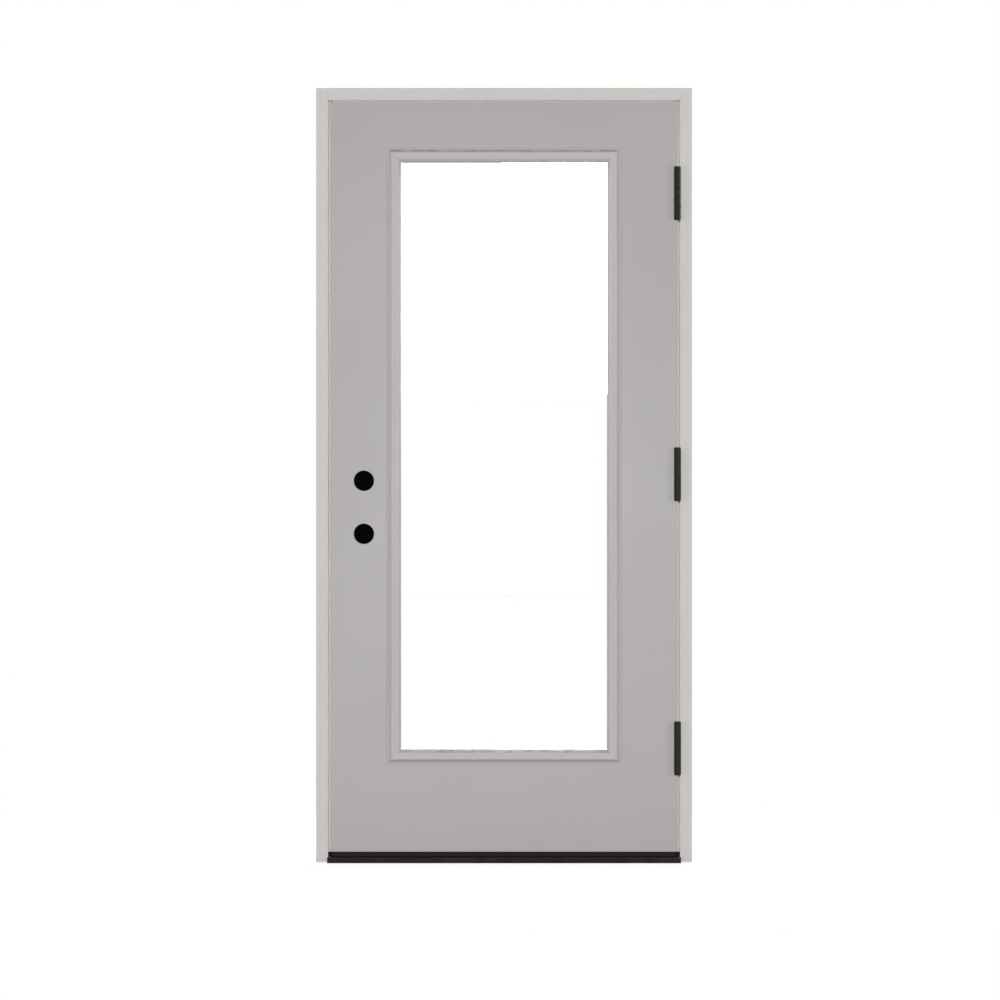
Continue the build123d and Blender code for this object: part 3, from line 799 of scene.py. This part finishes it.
def lite_moulding(side_name, facing):
    """The outline carried round the glass with a station at each corner. Across points out of the
    corner, as far sideways as up or down, so the four lengths meet in mitres."""
    signs = np.array([(1, -1), (1, 1), (-1, 1), (-1, -1)], float)
    side, end = signs[:, :1] * ALONG_X, signs[:, 1:] * ALONG_Z
    middle = np.array([0, slab_mid, glass_mid])
    origins = middle + side * glass_half + end * glass_rise
    outline = lite_outline()
    ring = shell(carry(outline, origins, side + end, facing * ALONG_Y), path_closed=True)
    make_piece(
        f"{side_name}_lite_moulding", [ring], "door", moulded_plastic,
        (f"{side_name}_lite_frame",), mitre=len(outline),
    )


lite_moulding("outside", -1)
lite_moulding("inside", 1)

PLUG_RADIUS = 4.6
PLUG_RISE = 0.7
PLUG_SUNK = 1.0
PLUG_RIM = 0.49
PLUG_TOP = 2.0
DIMPLE_RADIUS = 1.1
DIMPLE_FLOOR = 0.8
DIMPLE_STEP = 0.2
DIMPLE_DEPTH = 0.25
PLUG_MARGIN = 13.5
PLUGS_ON_SIDE = 7
PLUGS_ON_END = 3
PLUG_CORNER_INSET = 60.0


def plug_outline():
    """Half outline of a push-in plug as (radius, height): a low dome with a rounded rim and a
    small dimple where the gate was cut."""
    rim = [(PLUG_RADIUS, -PLUG_SUNK), (PLUG_RADIUS, PLUG_RIM), (PLUG_TOP, PLUG_RISE)]
    dimple = [
        (DIMPLE_RADIUS, PLUG_RISE),
        (DIMPLE_FLOOR, PLUG_RISE - DIMPLE_STEP),
        (0.0, PLUG_RISE - DIMPLE_DEPTH),
    ]
    return np.concatenate(([(0.0, -PLUG_SUNK)], rounded(rim, 0.25, closed=False), dimple))


def lite_plugs():
    """Plugs over the screws of the inside lite frame, set square on its sloping crown: evenly
    spaced along each side, the rise at the plugs read off the crown's straight line."""
    crown_run = lite_width - LITE_FOOT - LITE_SHOULDER - LITE_SLOPE
    slope = math.atan2(LITE_CROWN_FALL, crown_run)
    rise = lite_crown - LITE_CROWN_FALL * (1 - (PLUG_MARGIN - LITE_SLOPE) / crown_run)
    middle = np.array([0, slab_mid + rise, glass_mid])
    shells = []
    for along, out, half, other_half, count in (
        (ALONG_Z, ALONG_X, glass_rise, glass_half, PLUGS_ON_SIDE),
        (ALONG_X, ALONG_Z, glass_half, glass_rise, PLUGS_ON_END),
    ):
        for place in np.linspace(PLUG_CORNER_INSET - half, half - PLUG_CORNER_INSET, count):
            for side in (1, -1):
                centre = middle + along * place + out * side * (other_half + PLUG_MARGIN)
                normal = math.cos(slope) * ALONG_Y - math.sin(slope) * side * out
                shells.append(lathe(plug_outline(), centre, normal, along, segments=24))
    make_piece("lite_frame_plugs", shells, "door", moulded_plastic)


lite_plugs()


# Seals

SEAL_POWER = 12.0
SEAL_POINTS = 27
SEAL_STEP = 12.0
SEAL_SWELL = 0.2
SEAL_DRAWN_IN = 0.18
SEAL_STITCH = 60.0
STITCH_POWER = 8
KERF_OFF_MIDDLE = 1.05
TAIL_WIDTH = 2.2
TAIL_DEPTH = 9.0
TAIL_ROOT = 0.4
TAIL_INSET = 2.0


def bulb_outline(width, depth):
    """Half a superellipse, flat side down: both coordinates of a circle's points raised to 2/n."""
    angle = np.linspace(0, np.pi, SEAL_POINTS)
    across = np.sign(np.cos(angle)) * np.abs(np.cos(angle)) ** (2 / SEAL_POWER) * width / 2
    return np.column_stack((across, np.sin(angle) ** (2 / SEAL_POWER) * depth))


def seal(name, node, along, across, foam_skin, tail_offset=None):
    """A foam bulb carried along a stop, drawn in a little at even steps by the stitches of its
    skin: the depth shrinks by a raised cosine. A flat tail behind it sits in the kerf."""
    lowest, highest = span(node)
    middle = (lowest + highest) / 2
    middle[1] = stop_front
    depth = stop_front - lowest[1]
    half = (highest - lowest) @ along / 2
    width = (highest - lowest) @ across + 2 * SEAL_SWELL
    stations = np.linspace(-half, half, int(2 * half / SEAL_STEP) + 2)[:, None]
    wave = 0.5 + 0.5 * np.cos(2 * np.pi * stations / SEAL_STITCH)
    drawn = 1 - SEAL_DRAWN_IN * wave**STITCH_POWER
    points = carry(bulb_outline(width, depth), middle + stations * along, across, -drawn * ALONG_Y)
    shells = [shell(points)]
    if tail_offset is not None:
        corners = rectangle(-TAIL_WIDTH / 2, -TAIL_ROOT, TAIL_WIDTH / 2, TAIL_DEPTH)
        tail_middle = middle + tail_offset * across
        shells.append(bar(rounded(corners, 0.4), tail_middle, half - TAIL_INSET, along, across, ALONG_Y))
    make_piece(name, shells, "frame", foam_skin, (node,))


seal("head_seal_bulb", "head_weatherstrip", ALONG_X, ALONG_Z, lightened_head_seal, KERF_OFF_MIDDLE)
for name, tail_offset in (("hinge_side", KERF_OFF_MIDDLE), ("strike_side", -KERF_OFF_MIDDLE)):
    seal(f"{name}_seal_bulb", f"{name}_weatherstrip", ALONG_Z, ALONG_X, seal_foam, tail_offset)
seal("sill_seal_bulb", "threshold_seal", ALONG_X, ALONG_Z, seal_foam)


# Corner pads

PAD_WIDTH = 12.0
PAD_TOP = 26.0
PAD_SLIT = 0.25
PAD_PRESSED_IN = 0.3
PAD_LET_IN = 0.5
PAD_THICK = 2.6
PAD_THIN = 0.4


def corner_pads():
    """A rubber pad in each lower corner, in front of the seal's foot: a wedge in (y, z), thick at
    the sill and thin at the top, that keeps rain out of the corner."""
    face, foot = seal_low[1], seal_low[2] + PAD_SLIT
    back = face + PAD_LET_IN
    corners = [(face - PAD_THICK, foot), (back, foot), (back, PAD_TOP), (face - PAD_THIN, PAD_TOP)]
    outline = rounded(corners, [0.6, 0.2, 0.2, 0.3])
    off_middle = seal_high[0] + PAD_PRESSED_IN - PAD_WIDTH / 2
    shells = [bar(outline, side * off_middle * ALONG_X, PAD_WIDTH / 2) for side in (-1, 1)]
    make_piece("corner_pads", shells, "frame", sweep_rubber)


corner_pads()


# Sill

SILL_SHELL = 2.5
NOSE_HEIGHT = 13.9
NOSE_EASE = 1.2
NOSE_END_EASE = 1.0
GROOVE_HEIGHTS = (4.6, 9.9)
GROOVE_WIDTH = 2.8
GROOVE_DEPTH = 2.2
TREAD_HEIGHT = 17.6
TREAD_LAP = 0.5
TREAD_GROOVE_DEPTH = 1.0
TREAD_GROOVE_START = 6.0
TREAD_GROOVE_PITCH = 5.0
TREAD_GROOVES = 3
STOP_LAND = 13.0
INNER_HEIGHT = 30.0
INNER_GROOVE_WIDTH = 1.8
INNER_GROOVE_DEPTH = 0.8
INNER_GROOVE_START = 12.0
INNER_GROOVE_PITCH = 7.0
INNER_GROOVES = 4


def tread_line(y):
    """Height of the sloping tread at a depth."""
    return NOSE_HEIGHT + (TREAD_HEIGHT - NOSE_HEIGHT) * (y - sill_low[1]) / (stop_front - sill_low[1])


def groove(start, along, into, width, depth):
    """The four corners of a square groove, given as points in (y, z)."""
    start, along, into = (np.array(v, float) for v in (start, along, into))
    return [start, start + into * depth, start + into * depth + along * width, start + along * width]


def nose_outline():
    """Nose of the sill in (y, z): two grooves up its front, an eased top edge, and three grooves
    on the tread in front of the jambs."""
    nose = sill_low[1]
    corners, radii = [(nose, 0.0)], [0.5]
    for z in GROOVE_HEIGHTS:
        corners += groove((nose, z - GROOVE_WIDTH / 2), (0, 1), (1, 0), GROOVE_WIDTH, GROOVE_DEPTH)
        radii += [0.25] * 4
    corners.append((nose, NOSE_HEIGHT))
    radii.append(NOSE_EASE)
    for row in range(TREAD_GROOVES):
        y = nose + TREAD_GROOVE_START + row * TREAD_GROOVE_PITCH - GROOVE_WIDTH / 2
        corners += groove((y, tread_line(y)), (1, 0), (0, -1), GROOVE_WIDTH, TREAD_GROOVE_DEPTH)
        radii += [0.3] * 4
    corners += [(front, tread_line(front)), (front, 0.0)]
    radii += [0.0, 0.0]
    return rounded(corners, radii)


def sill_nose():
    """The nose carried across the door. Over the last millimetre at each end the outline draws in
    towards the foot of the jambs on a quarter circle, so that the corners are eased."""
    turn = np.linspace(0, np.pi / 2, 6)
    from_end = NOSE_END_EASE * (1 - np.cos(turn))
    drawn_in = NOSE_END_EASE * (1 - np.sin(turn))
    reach = np.concatenate((-sill_high[0] + from_end, (sill_high[0] - from_end)[::-1]))
    shrink = 1 - np.concatenate((drawn_in, drawn_in[::-1]))[:, None] / NOSE_HEIGHT
    foot = np.array([front, 0.0])
    section = foot + (nose_outline() - foot) * shrink[:, None]
    return shell(reach[:, None, None] * ALONG_X + section @ np.array([ALONG_Y, ALONG_Z]))


def tread_outline():
    """Plate of the tread between the jambs, in (y, z)."""
    back = stop_front + TREAD_LAP
    return [
        (front, tread_line(front) - SILL_SHELL),
        (front, tread_line(front)),
        (back, TREAD_HEIGHT),
        (back, TREAD_HEIGHT - SILL_SHELL),
    ]


def stop_outline():
    """The raised stop and the slope behind it, in (y, z), with low grip ribs cut by grooves."""
    rear, top = sill_high[1], sill_high[2]
    land_end = stop_front + STOP_LAND
    fall = (top - INNER_HEIGHT) / (rear - land_end)
    corners = [(stop_front, TREAD_HEIGHT - SILL_SHELL), (stop_front, top), (land_end, top)]
    radii = [0.2, 1.2, 6.0]
    for row in range(INNER_GROOVES):
        y = land_end + INNER_GROOVE_START + row * INNER_GROOVE_PITCH
        start = (y, top - fall * (y - land_end))
        corners += groove(start, (1, -fall), (0, -1), INNER_GROOVE_WIDTH, INNER_GROOVE_DEPTH)
        radii += [0.25] * 4
    inner_front, inner_top = stop_front + SILL_SHELL, top - SILL_SHELL
    corners += [
        (rear, INNER_HEIGHT),
        (rear, INNER_HEIGHT - SILL_SHELL),
        (land_end, inner_top),
        (inner_front, inner_top),
        (inner_front, TREAD_HEIGHT - SILL_SHELL),
    ]
    radii += [1.0, 0.3, 0.3, 0.3, 0.3]
    return rounded(corners, radii)


def sill():
    """Nose, tread and stop, each as wide as the jambs let it be."""
    origin = np.zeros(3)
    shells = [
        sill_nose(),
        bar(tread_outline(), origin, tread_half),
        bar(stop_outline(), origin, stop_half),
    ]
    make_piece("sill_extrusion", shells, "frame", sill_metal, ("threshold",))


sill()


# Sweep

SWEEP_BASE = 1.5
SWEEP_EASE = 0.3
FIN_CLEARANCE = 0.5
FIN_COUNT = 4
FIN_POINTS = 9
FIN_ROOT = 2.0
FIN_TIP = 0.8
FIN_BEND = 0.8


def sweep():
    """A thin base under the slab and four fins, each tapered and bent: the middle line leaves the
    root as the square of the way down, the width falls evenly to the tip, and the tip stops just
    clear of the tread's slope."""
    low_corner, high_corner = span("door_sweep")
    half_width = (high_corner[1] - low_corner[1]) / 2
    half_length = high_corner[0]
    top = high_corner[2]
    origin = np.array([0, (low_corner[1] + high_corner[1]) / 2, top])
    base = rounded(rectangle(-half_width, 0, half_width, -SWEEP_BASE), SWEEP_EASE)
    shells = [bar(base, origin, half_length)]
    root = SWEEP_EASE - SWEEP_BASE
    down = np.linspace(0, 1, FIN_POINTS)
    centre = FIN_BEND / 2 - FIN_BEND * down**2
    half_fin = (FIN_ROOT + (FIN_TIP - FIN_ROOT) * down) / 2
    edge = half_width - FIN_ROOT / 2 - FIN_BEND / 2
    for offset in np.linspace(-edge, edge, FIN_COUNT):
        tip = tread_line(origin[1] + offset) + FIN_CLEARANCE - top
        height = root + (tip - root) * down
        left = np.column_stack((centre - half_fin, height))
        right = np.column_stack((centre + half_fin, height))
        fin = np.concatenate((left, right[::-1]))
        shells.append(bar(fin, origin + offset * ALONG_Y, half_length))
    make_piece("sweep_strip", shells, "door", sweep_rubber, ("door_sweep",))


sweep()


# Bore covers

COVER_STEP = 1.0
COVER_RIM = 6.0
COVER_RIM_FOOT = 8.0


def bore_cover(bore):
    """A push-in cover: a round-rimmed disc with a shallow dish inside its rim."""
    low_corner, high_corner = span(f"{bore}_bore_cover")
    centre = (low_corner + high_corner) / 2
    centre[1] = low_corner[1]
    radius = (high_corner[0] - low_corner[0]) / 2
    thick = high_corner[1] - low_corner[1]
    outer = [
        (0.0, 0.0),
        (radius, 0.0),
        (radius, thick),
        (radius - COVER_RIM, thick),
        (radius - COVER_RIM_FOOT, thick - COVER_STEP),
        (0.0, thick - COVER_STEP),
    ]
    outline = rounded(outer, [0.3, 1.4, 1.0, 1.0], closed=False)
    disc = lathe(outline, centre, ALONG_Y, ALONG_Z, segments=72)
    make_piece(
        f"{bore}_bore_cap", [disc], "door", cover_plastic, (f"{bore}_bore_cover",)
    )


for bore in ("deadbolt", "latch"):
    bore_cover(bore)


# Screws

random = np.random.default_rng(17)
SCREW_RINGS = np.array([0.0, 0.1, 0.2, 0.3, 0.4, 0.5, 0.56, 0.7, 0.84, 0.94, 1.0])
SCREW_SEGMENTS = 32
SCREW_RADIUS = 4.3
SCREW_RISE = 0.45
SCREW_FALL = 0.45
SCREW_SUNK = 0.6
RECESS_ARM = 0.18
RECESS_ARM_WALL = 0.08
RECESS_REACH = 0.56
RECESS_END_WALL = 0.1
RECESS_DEPTH = 1.1


def screw_head(centre, normal, first):
    """A countersunk head in polar steps: a low dome that falls as the square of the radius, less a
    cross recess where the smaller of |x| and |y| is under the arm's half width. Lengths are shares
    of the radius, and each head is left turned at a random angle."""
    spin = random.uniform(0, np.pi)
    angle = np.linspace(0, 2 * np.pi, SCREW_SEGMENTS, endpoint=False)[:, None]
    radius = SCREW_RINGS[None, :]
    arm = np.minimum(np.abs(radius * np.cos(angle - spin)), np.abs(radius * np.sin(angle - spin)))
    in_arm = np.clip((RECESS_ARM - arm) / RECESS_ARM_WALL, 0, 1)
    in_reach = np.clip((RECESS_REACH - radius) / RECESS_END_WALL, 0, 1)
    height = SCREW_RISE * (1 - SCREW_FALL * radius**2) - RECESS_DEPTH * in_arm * in_reach
    height, radius = np.broadcast_arrays(height, radius)
    skirt = np.full((SCREW_SEGMENTS, 1), -SCREW_SUNK)
    height = np.hstack((height, skirt, skirt))
    radius = np.hstack((radius, np.ones_like(skirt), np.zeros_like(skirt))) * SCREW_RADIUS
    radial = np.cos(angle) * first + np.sin(angle) * np.cross(normal, first)
    points = centre + radius[:, :, None] * radial[:, None] + height[:, :, None] * normal
    return shell(points, path_closed=True, outline_closed=False)


# Hinges

KNUCKLES = 5
LEAF_THICK = 2.5
LEAF_EASE = 0.3
LEAF_CORNER = 6.35
LEAF_SCREWS = ((-48.0, -9.0), (-16.5, -24.0), (16.5, -24.0), (48.0, -9.0))
KNUCKLE_GAP = 0.4
KNUCKLE_EASE = 0.5
STRAP_LAP = 0.5
STRAP_BITE = 1.0
PIN_HOLE = 4.9
PIN_PLAY = 0.15
BUTTON_RIM = 0.8
BUTTON_ROUND = 2.0
BUTTON_HEIGHT = 5.5


def leaf_plate(back_x, outward, low_corner, high_corner):
    """The flat of a leaf, square at the slab's face and round-cornered behind: one outline at its
    back and at the start of its eased edge, and again drawn in at its show face."""
    corners = rectangle(front, low_corner[2], high_corner[1], high_corner[2])
    outline = rounded(corners, [0.3, LEAF_CORNER, LEAF_CORNER, 0.3], steps=9)
    drawn_in = outline - LEAF_EASE * np.sign(outline - outline.mean(axis=0))
    depth = np.array([0, LEAF_THICK - LEAF_EASE, LEAF_THICK])[:, None, None]
    rings = np.array([outline, outline, drawn_in]) @ np.array([ALONG_Y, ALONG_Z])
    return shell(rings + (back_x - outward * depth) * ALONG_X)


def knuckle(pin, low, high):
    """One knuckle: a tube whose outer edges are eased."""
    corners = rectangle(PIN_HOLE, low, pin["radius"], high)
    outline = rounded(corners, [0.1, KNUCKLE_EASE, KNUCKLE_EASE, 0.1])
    return lathe(outline, pin["centre"], ALONG_Z, ALONG_X, segments=64, outline_closed=True)


def knuckle_strap(pin, back_x, outward, low, high):
    """The strap from the flat of a leaf to its knuckle. It starts beside the pin's axis where it
    passes clear of the hole, and otherwise in the knuckle's wall, at its distance from the axis."""
    show_x = back_x - outward * LEAF_THICK
    beside = min(abs(back_x - pin["centre"][0]), abs(show_x - pin["centre"][0]))
    start_y = pin["centre"][1] + math.sqrt(max((PIN_HOLE + STRAP_BITE) ** 2 - beside**2, 0))
    corners = rectangle(back_x, start_y, show_x, front + STRAP_LAP)
    middle = (low + high) / 2 * ALONG_Z
    return bar(corners, middle, (high - low) / 2, ALONG_Z, ALONG_X, ALONG_Y)


def hinge_leaf(place, part, first_knuckle, pin):
    """A leaf with its plate, straps and every second knuckle, and its four screws. part names both
    the leaf and its body. outward is 1 where the leaf's show face looks towards -X, and -1 where
    it looks towards +X."""
    node = f"{place}_hinge_{part}_leaf"
    low_corner, high_corner = span(node)
    is_frame = part == "frame"
    back_x = high_corner[0] if is_frame else slab_half - LEAF_THICK
    outward = 1 if is_frame else -1
    shells = [leaf_plate(back_x, outward, low_corner, high_corner)]
    pitch = (high_corner[2] - low_corner[2]) / KNUCKLES
    for index in range(first_knuckle, KNUCKLES, 2):
        low = low_corner[2] + index * pitch + (KNUCKLE_GAP / 2 if index else 0)
        high = low_corner[2] + (index + 1) * pitch - (KNUCKLE_GAP / 2 if index < KNUCKLES - 1 else 0)
        shells.append(knuckle(pin, low, high))
        shells.append(knuckle_strap(pin, back_x, outward, low, high))
    make_piece(f"{place}_hinge_{part}_plate", shells, part, coated_steel, (node,))
    show_x = back_x - outward * LEAF_THICK
    middle_z = (low_corner[2] + high_corner[2]) / 2
    heads = [
        screw_head(np.array([show_x, high_corner[1] + back, middle_z + up]), -outward * ALONG_X, ALONG_Y)
        for up, back in LEAF_SCREWS
    ]
    make_piece(f"{place}_hinge_{part}_screws", heads, part, coated_steel, sharp=50)


def hinge_pin(place, pin):
    """The loose pin: a button at each end with a rounded rim, and the rod between them."""
    low_corner, high_corner = span(f"{place}_hinge_pin")
    radius = (high_corner[0] - low_corner[0]) / 2
    rod = PIN_HOLE - PIN_PLAY
    button = np.array([
        (0.0, 0.0),
        (radius - BUTTON_RIM, 0.0),
        (radius, BUTTON_ROUND),
        (radius, BUTTON_HEIGHT),
        (rod, BUTTON_HEIGHT),
    ])
    lower, upper = button + (0, low_corner[2]), button * (1, -1) + (0, high_corner[2])
    radii = [1.2, 1.2, 0.3, 0.1, 0.1, 0.3, 1.2, 1.2]
    outline = rounded(np.concatenate((lower, upper[::-1])), radii, closed=False)
    turned = lathe(outline, pin["centre"], ALONG_Z, ALONG_X, segments=64)
    make_piece(
        f"{place}_hinge_rod", [turned], "frame", coated_steel, (f"{place}_hinge_pin",)
    )


def hinge(place):
    """Both leaves and the pin of one hinge, on the axis of the frame's pin."""
    low_corner, high_corner = span(f"{place}_hinge_pin")
    centre = (low_corner + high_corner) / 2 * (1, 1, 0)
    pin = {"centre": centre, "radius": centre[0] - span(f"{place}_hinge_frame_leaf")[0][0]}
    hinge_leaf(place, "frame", 0, pin)
    hinge_leaf(place, "door", 1, pin)
    hinge_pin(place, pin)


for place in ("upper", "middle", "lower"):
    hinge(place)

SILL_SCREW_DEPTH = -42.0
SILL_SCREW_INSET = 70.0
SILL_SCREWS = 4


def sill_screws():
    """Screws down through the tread, under the slab."""
    slope = math.atan2(TREAD_HEIGHT - NOSE_HEIGHT, stop_front - sill_low[1])
    normal = math.cos(slope) * ALONG_Z - math.sin(slope) * ALONG_Y
    reach = tread_half - SILL_SCREW_INSET
    heads = [
        screw_head(np.array([x, SILL_SCREW_DEPTH, tread_line(SILL_SCREW_DEPTH)]), normal, ALONG_X)
        for x in np.linspace(-reach, reach, SILL_SCREWS)
    ]
    make_piece("sill_screw_heads", heads, "frame", sill_metal, sharp=50)


sill_screws()


# Camera

PHOTO_SIZE = 1000
MM_PER_PIXEL = 2.6307
DOOR_CENTRE_COLUMN = 504.05
SILL_UNDERSIDE_ROW = 862.7
LENS = 200.0
SENSOR = 36.0


def photo_camera():
    """A long lens square to the door, so that a pixel of the photograph is MM_PER_PIXEL at the
    slab's face."""
    camera = bpy.data.objects.new("photo_camera", bpy.data.cameras.new("photo_camera"))
    camera.data.lens = LENS
    camera.data.sensor_width = SENSOR
    distance = PHOTO_SIZE * MM_PER_PIXEL * LENS / SENSOR
    x = (PHOTO_SIZE / 2 - DOOR_CENTRE_COLUMN) * MM_PER_PIXEL
    z = (SILL_UNDERSIDE_ROW - PHOTO_SIZE / 2) * MM_PER_PIXEL
    camera.location = np.array([x, front - distance, z]) * MM
    camera.rotation_euler = (math.pi / 2, 0, 0)
    camera.data.clip_end = 100.0
    bpy.context.scene.collection.objects.link(camera)
    bpy.context.scene.camera = camera
    return camera


camera_x, camera_y, camera_z = photo_camera().location


# Light

AMBIENT = 0.2
FLOOR_HALF = 2.2
FLOOR_DROP = 0.0005
FLOOR_GLOW = 0.82
FLOOR_GREYS = ((0.21, 0.21, 0.21, 1), (0.23, 0.23, 0.23, 1))
BEHIND_CAMERA = 0.5
LIGHT_KINDS = ("diffuse", "glossy", "transmission")


def soft_lamp(name, place, size, power, aim=1.0, seen_by=LIGHT_KINDS):
    """A soft box that faces a height on the door's middle line, and the kinds of light it gives."""
    lamp = bpy.data.objects.new(name, bpy.data.lights.new(name, "AREA"))
    lamp.data.shape = "RECTANGLE"
    lamp.data.size, lamp.data.size_y = size
    lamp.data.energy = power
    lamp.location = place
    lamp.rotation_euler = (Vector((0, 0, aim)) - Vector(place)).to_track_quat("-Z", "Y").to_euler()
    for kind in LIGHT_KINDS:
        setattr(lamp, f"visible_{kind}", kind in seen_by)
    bpy.context.scene.collection.objects.link(lamp)


def seen_directly(tree):
    """1 on rays from the camera, off a glossy surface or through glass, and 0 on all others."""
    ray = add_node(tree, "ShaderNodeLightPath").outputs
    kinds = ("Is Camera Ray", "Is Glossy Ray", "Is Transmission Ray")
    return chain(tree, "MAXIMUM", *(ray[kind] for kind in kinds))


def white_surroundings():
    """A world that the camera, reflections and glass see as white, and that gives an even fill."""
    world = bpy.data.worlds.new("studio")
    world.use_nodes = True
    bpy.context.scene.world = world
    tree = world.node_tree
    seen = tree.nodes["Background"].inputs
    seen["Color"].default_value = WHITE
    feed(tree, seen["Strength"], spread(tree, seen_directly(tree), 0.0, 1.0, AMBIENT, 1.0))


def studio_floor():
    """A pale floor. Camera, glossy and glass rays see it lifted to white, less its shadows."""
    mesh = bpy.data.meshes.new("studio_floor")
    corners = rectangle(-FLOOR_HALF, -FLOOR_HALF, FLOOR_HALF, FLOOR_HALF)
    mesh.from_pydata([(x, y, 0) for x, y in corners], [], [(0, 1, 2, 3)])
    floor = bpy.data.objects.new("studio_floor", mesh)
    floor.location.z = -FLOOR_DROP
    bpy.context.scene.collection.objects.link(floor)
    finish, tree, shader, place = new_finish(
        "studio_floor", Roughness=0.9, Specular_IOR_Level=0.1, Emission_Color=WHITE
    )
    feed(tree, shader.inputs["Base Color"], blend(tree, noise(tree, place, 60.0), *FLOOR_GREYS))
    glow = maths(tree, "MULTIPLY", seen_directly(tree), FLOOR_GLOW)
    feed(tree, shader.inputs["Emission Strength"], glow)
    mesh.materials.append(finish)


white_surroundings()
studio_floor()
behind = camera_y - BEHIND_CAMERA
soft_lamp("front_lamp", (camera_x, behind, 2.0), (0.9, 0.9), 1385, seen_by=("diffuse",))
soft_lamp("sheen_lamp", (camera_x, behind, camera_z), (1.0, 1.0), 340, aim=camera_z, seen_by=("glossy",))
soft_lamp("rear_lamp", (0.8, 9.0, 2.2), (1.6, 1.6), 490)
for side in (-1, 1):
    soft_lamp(f"near_lamp_{side}", (side * 3.2, -2.6, 1.0), (0.6, 2.2), 22)
    soft_lamp(f"side_lamp_{side}", (side * 4.5, 0.6, 2.0), (1.2, 1.2), 90)

bpy.context.scene.view_settings.view_transform = "Standard"
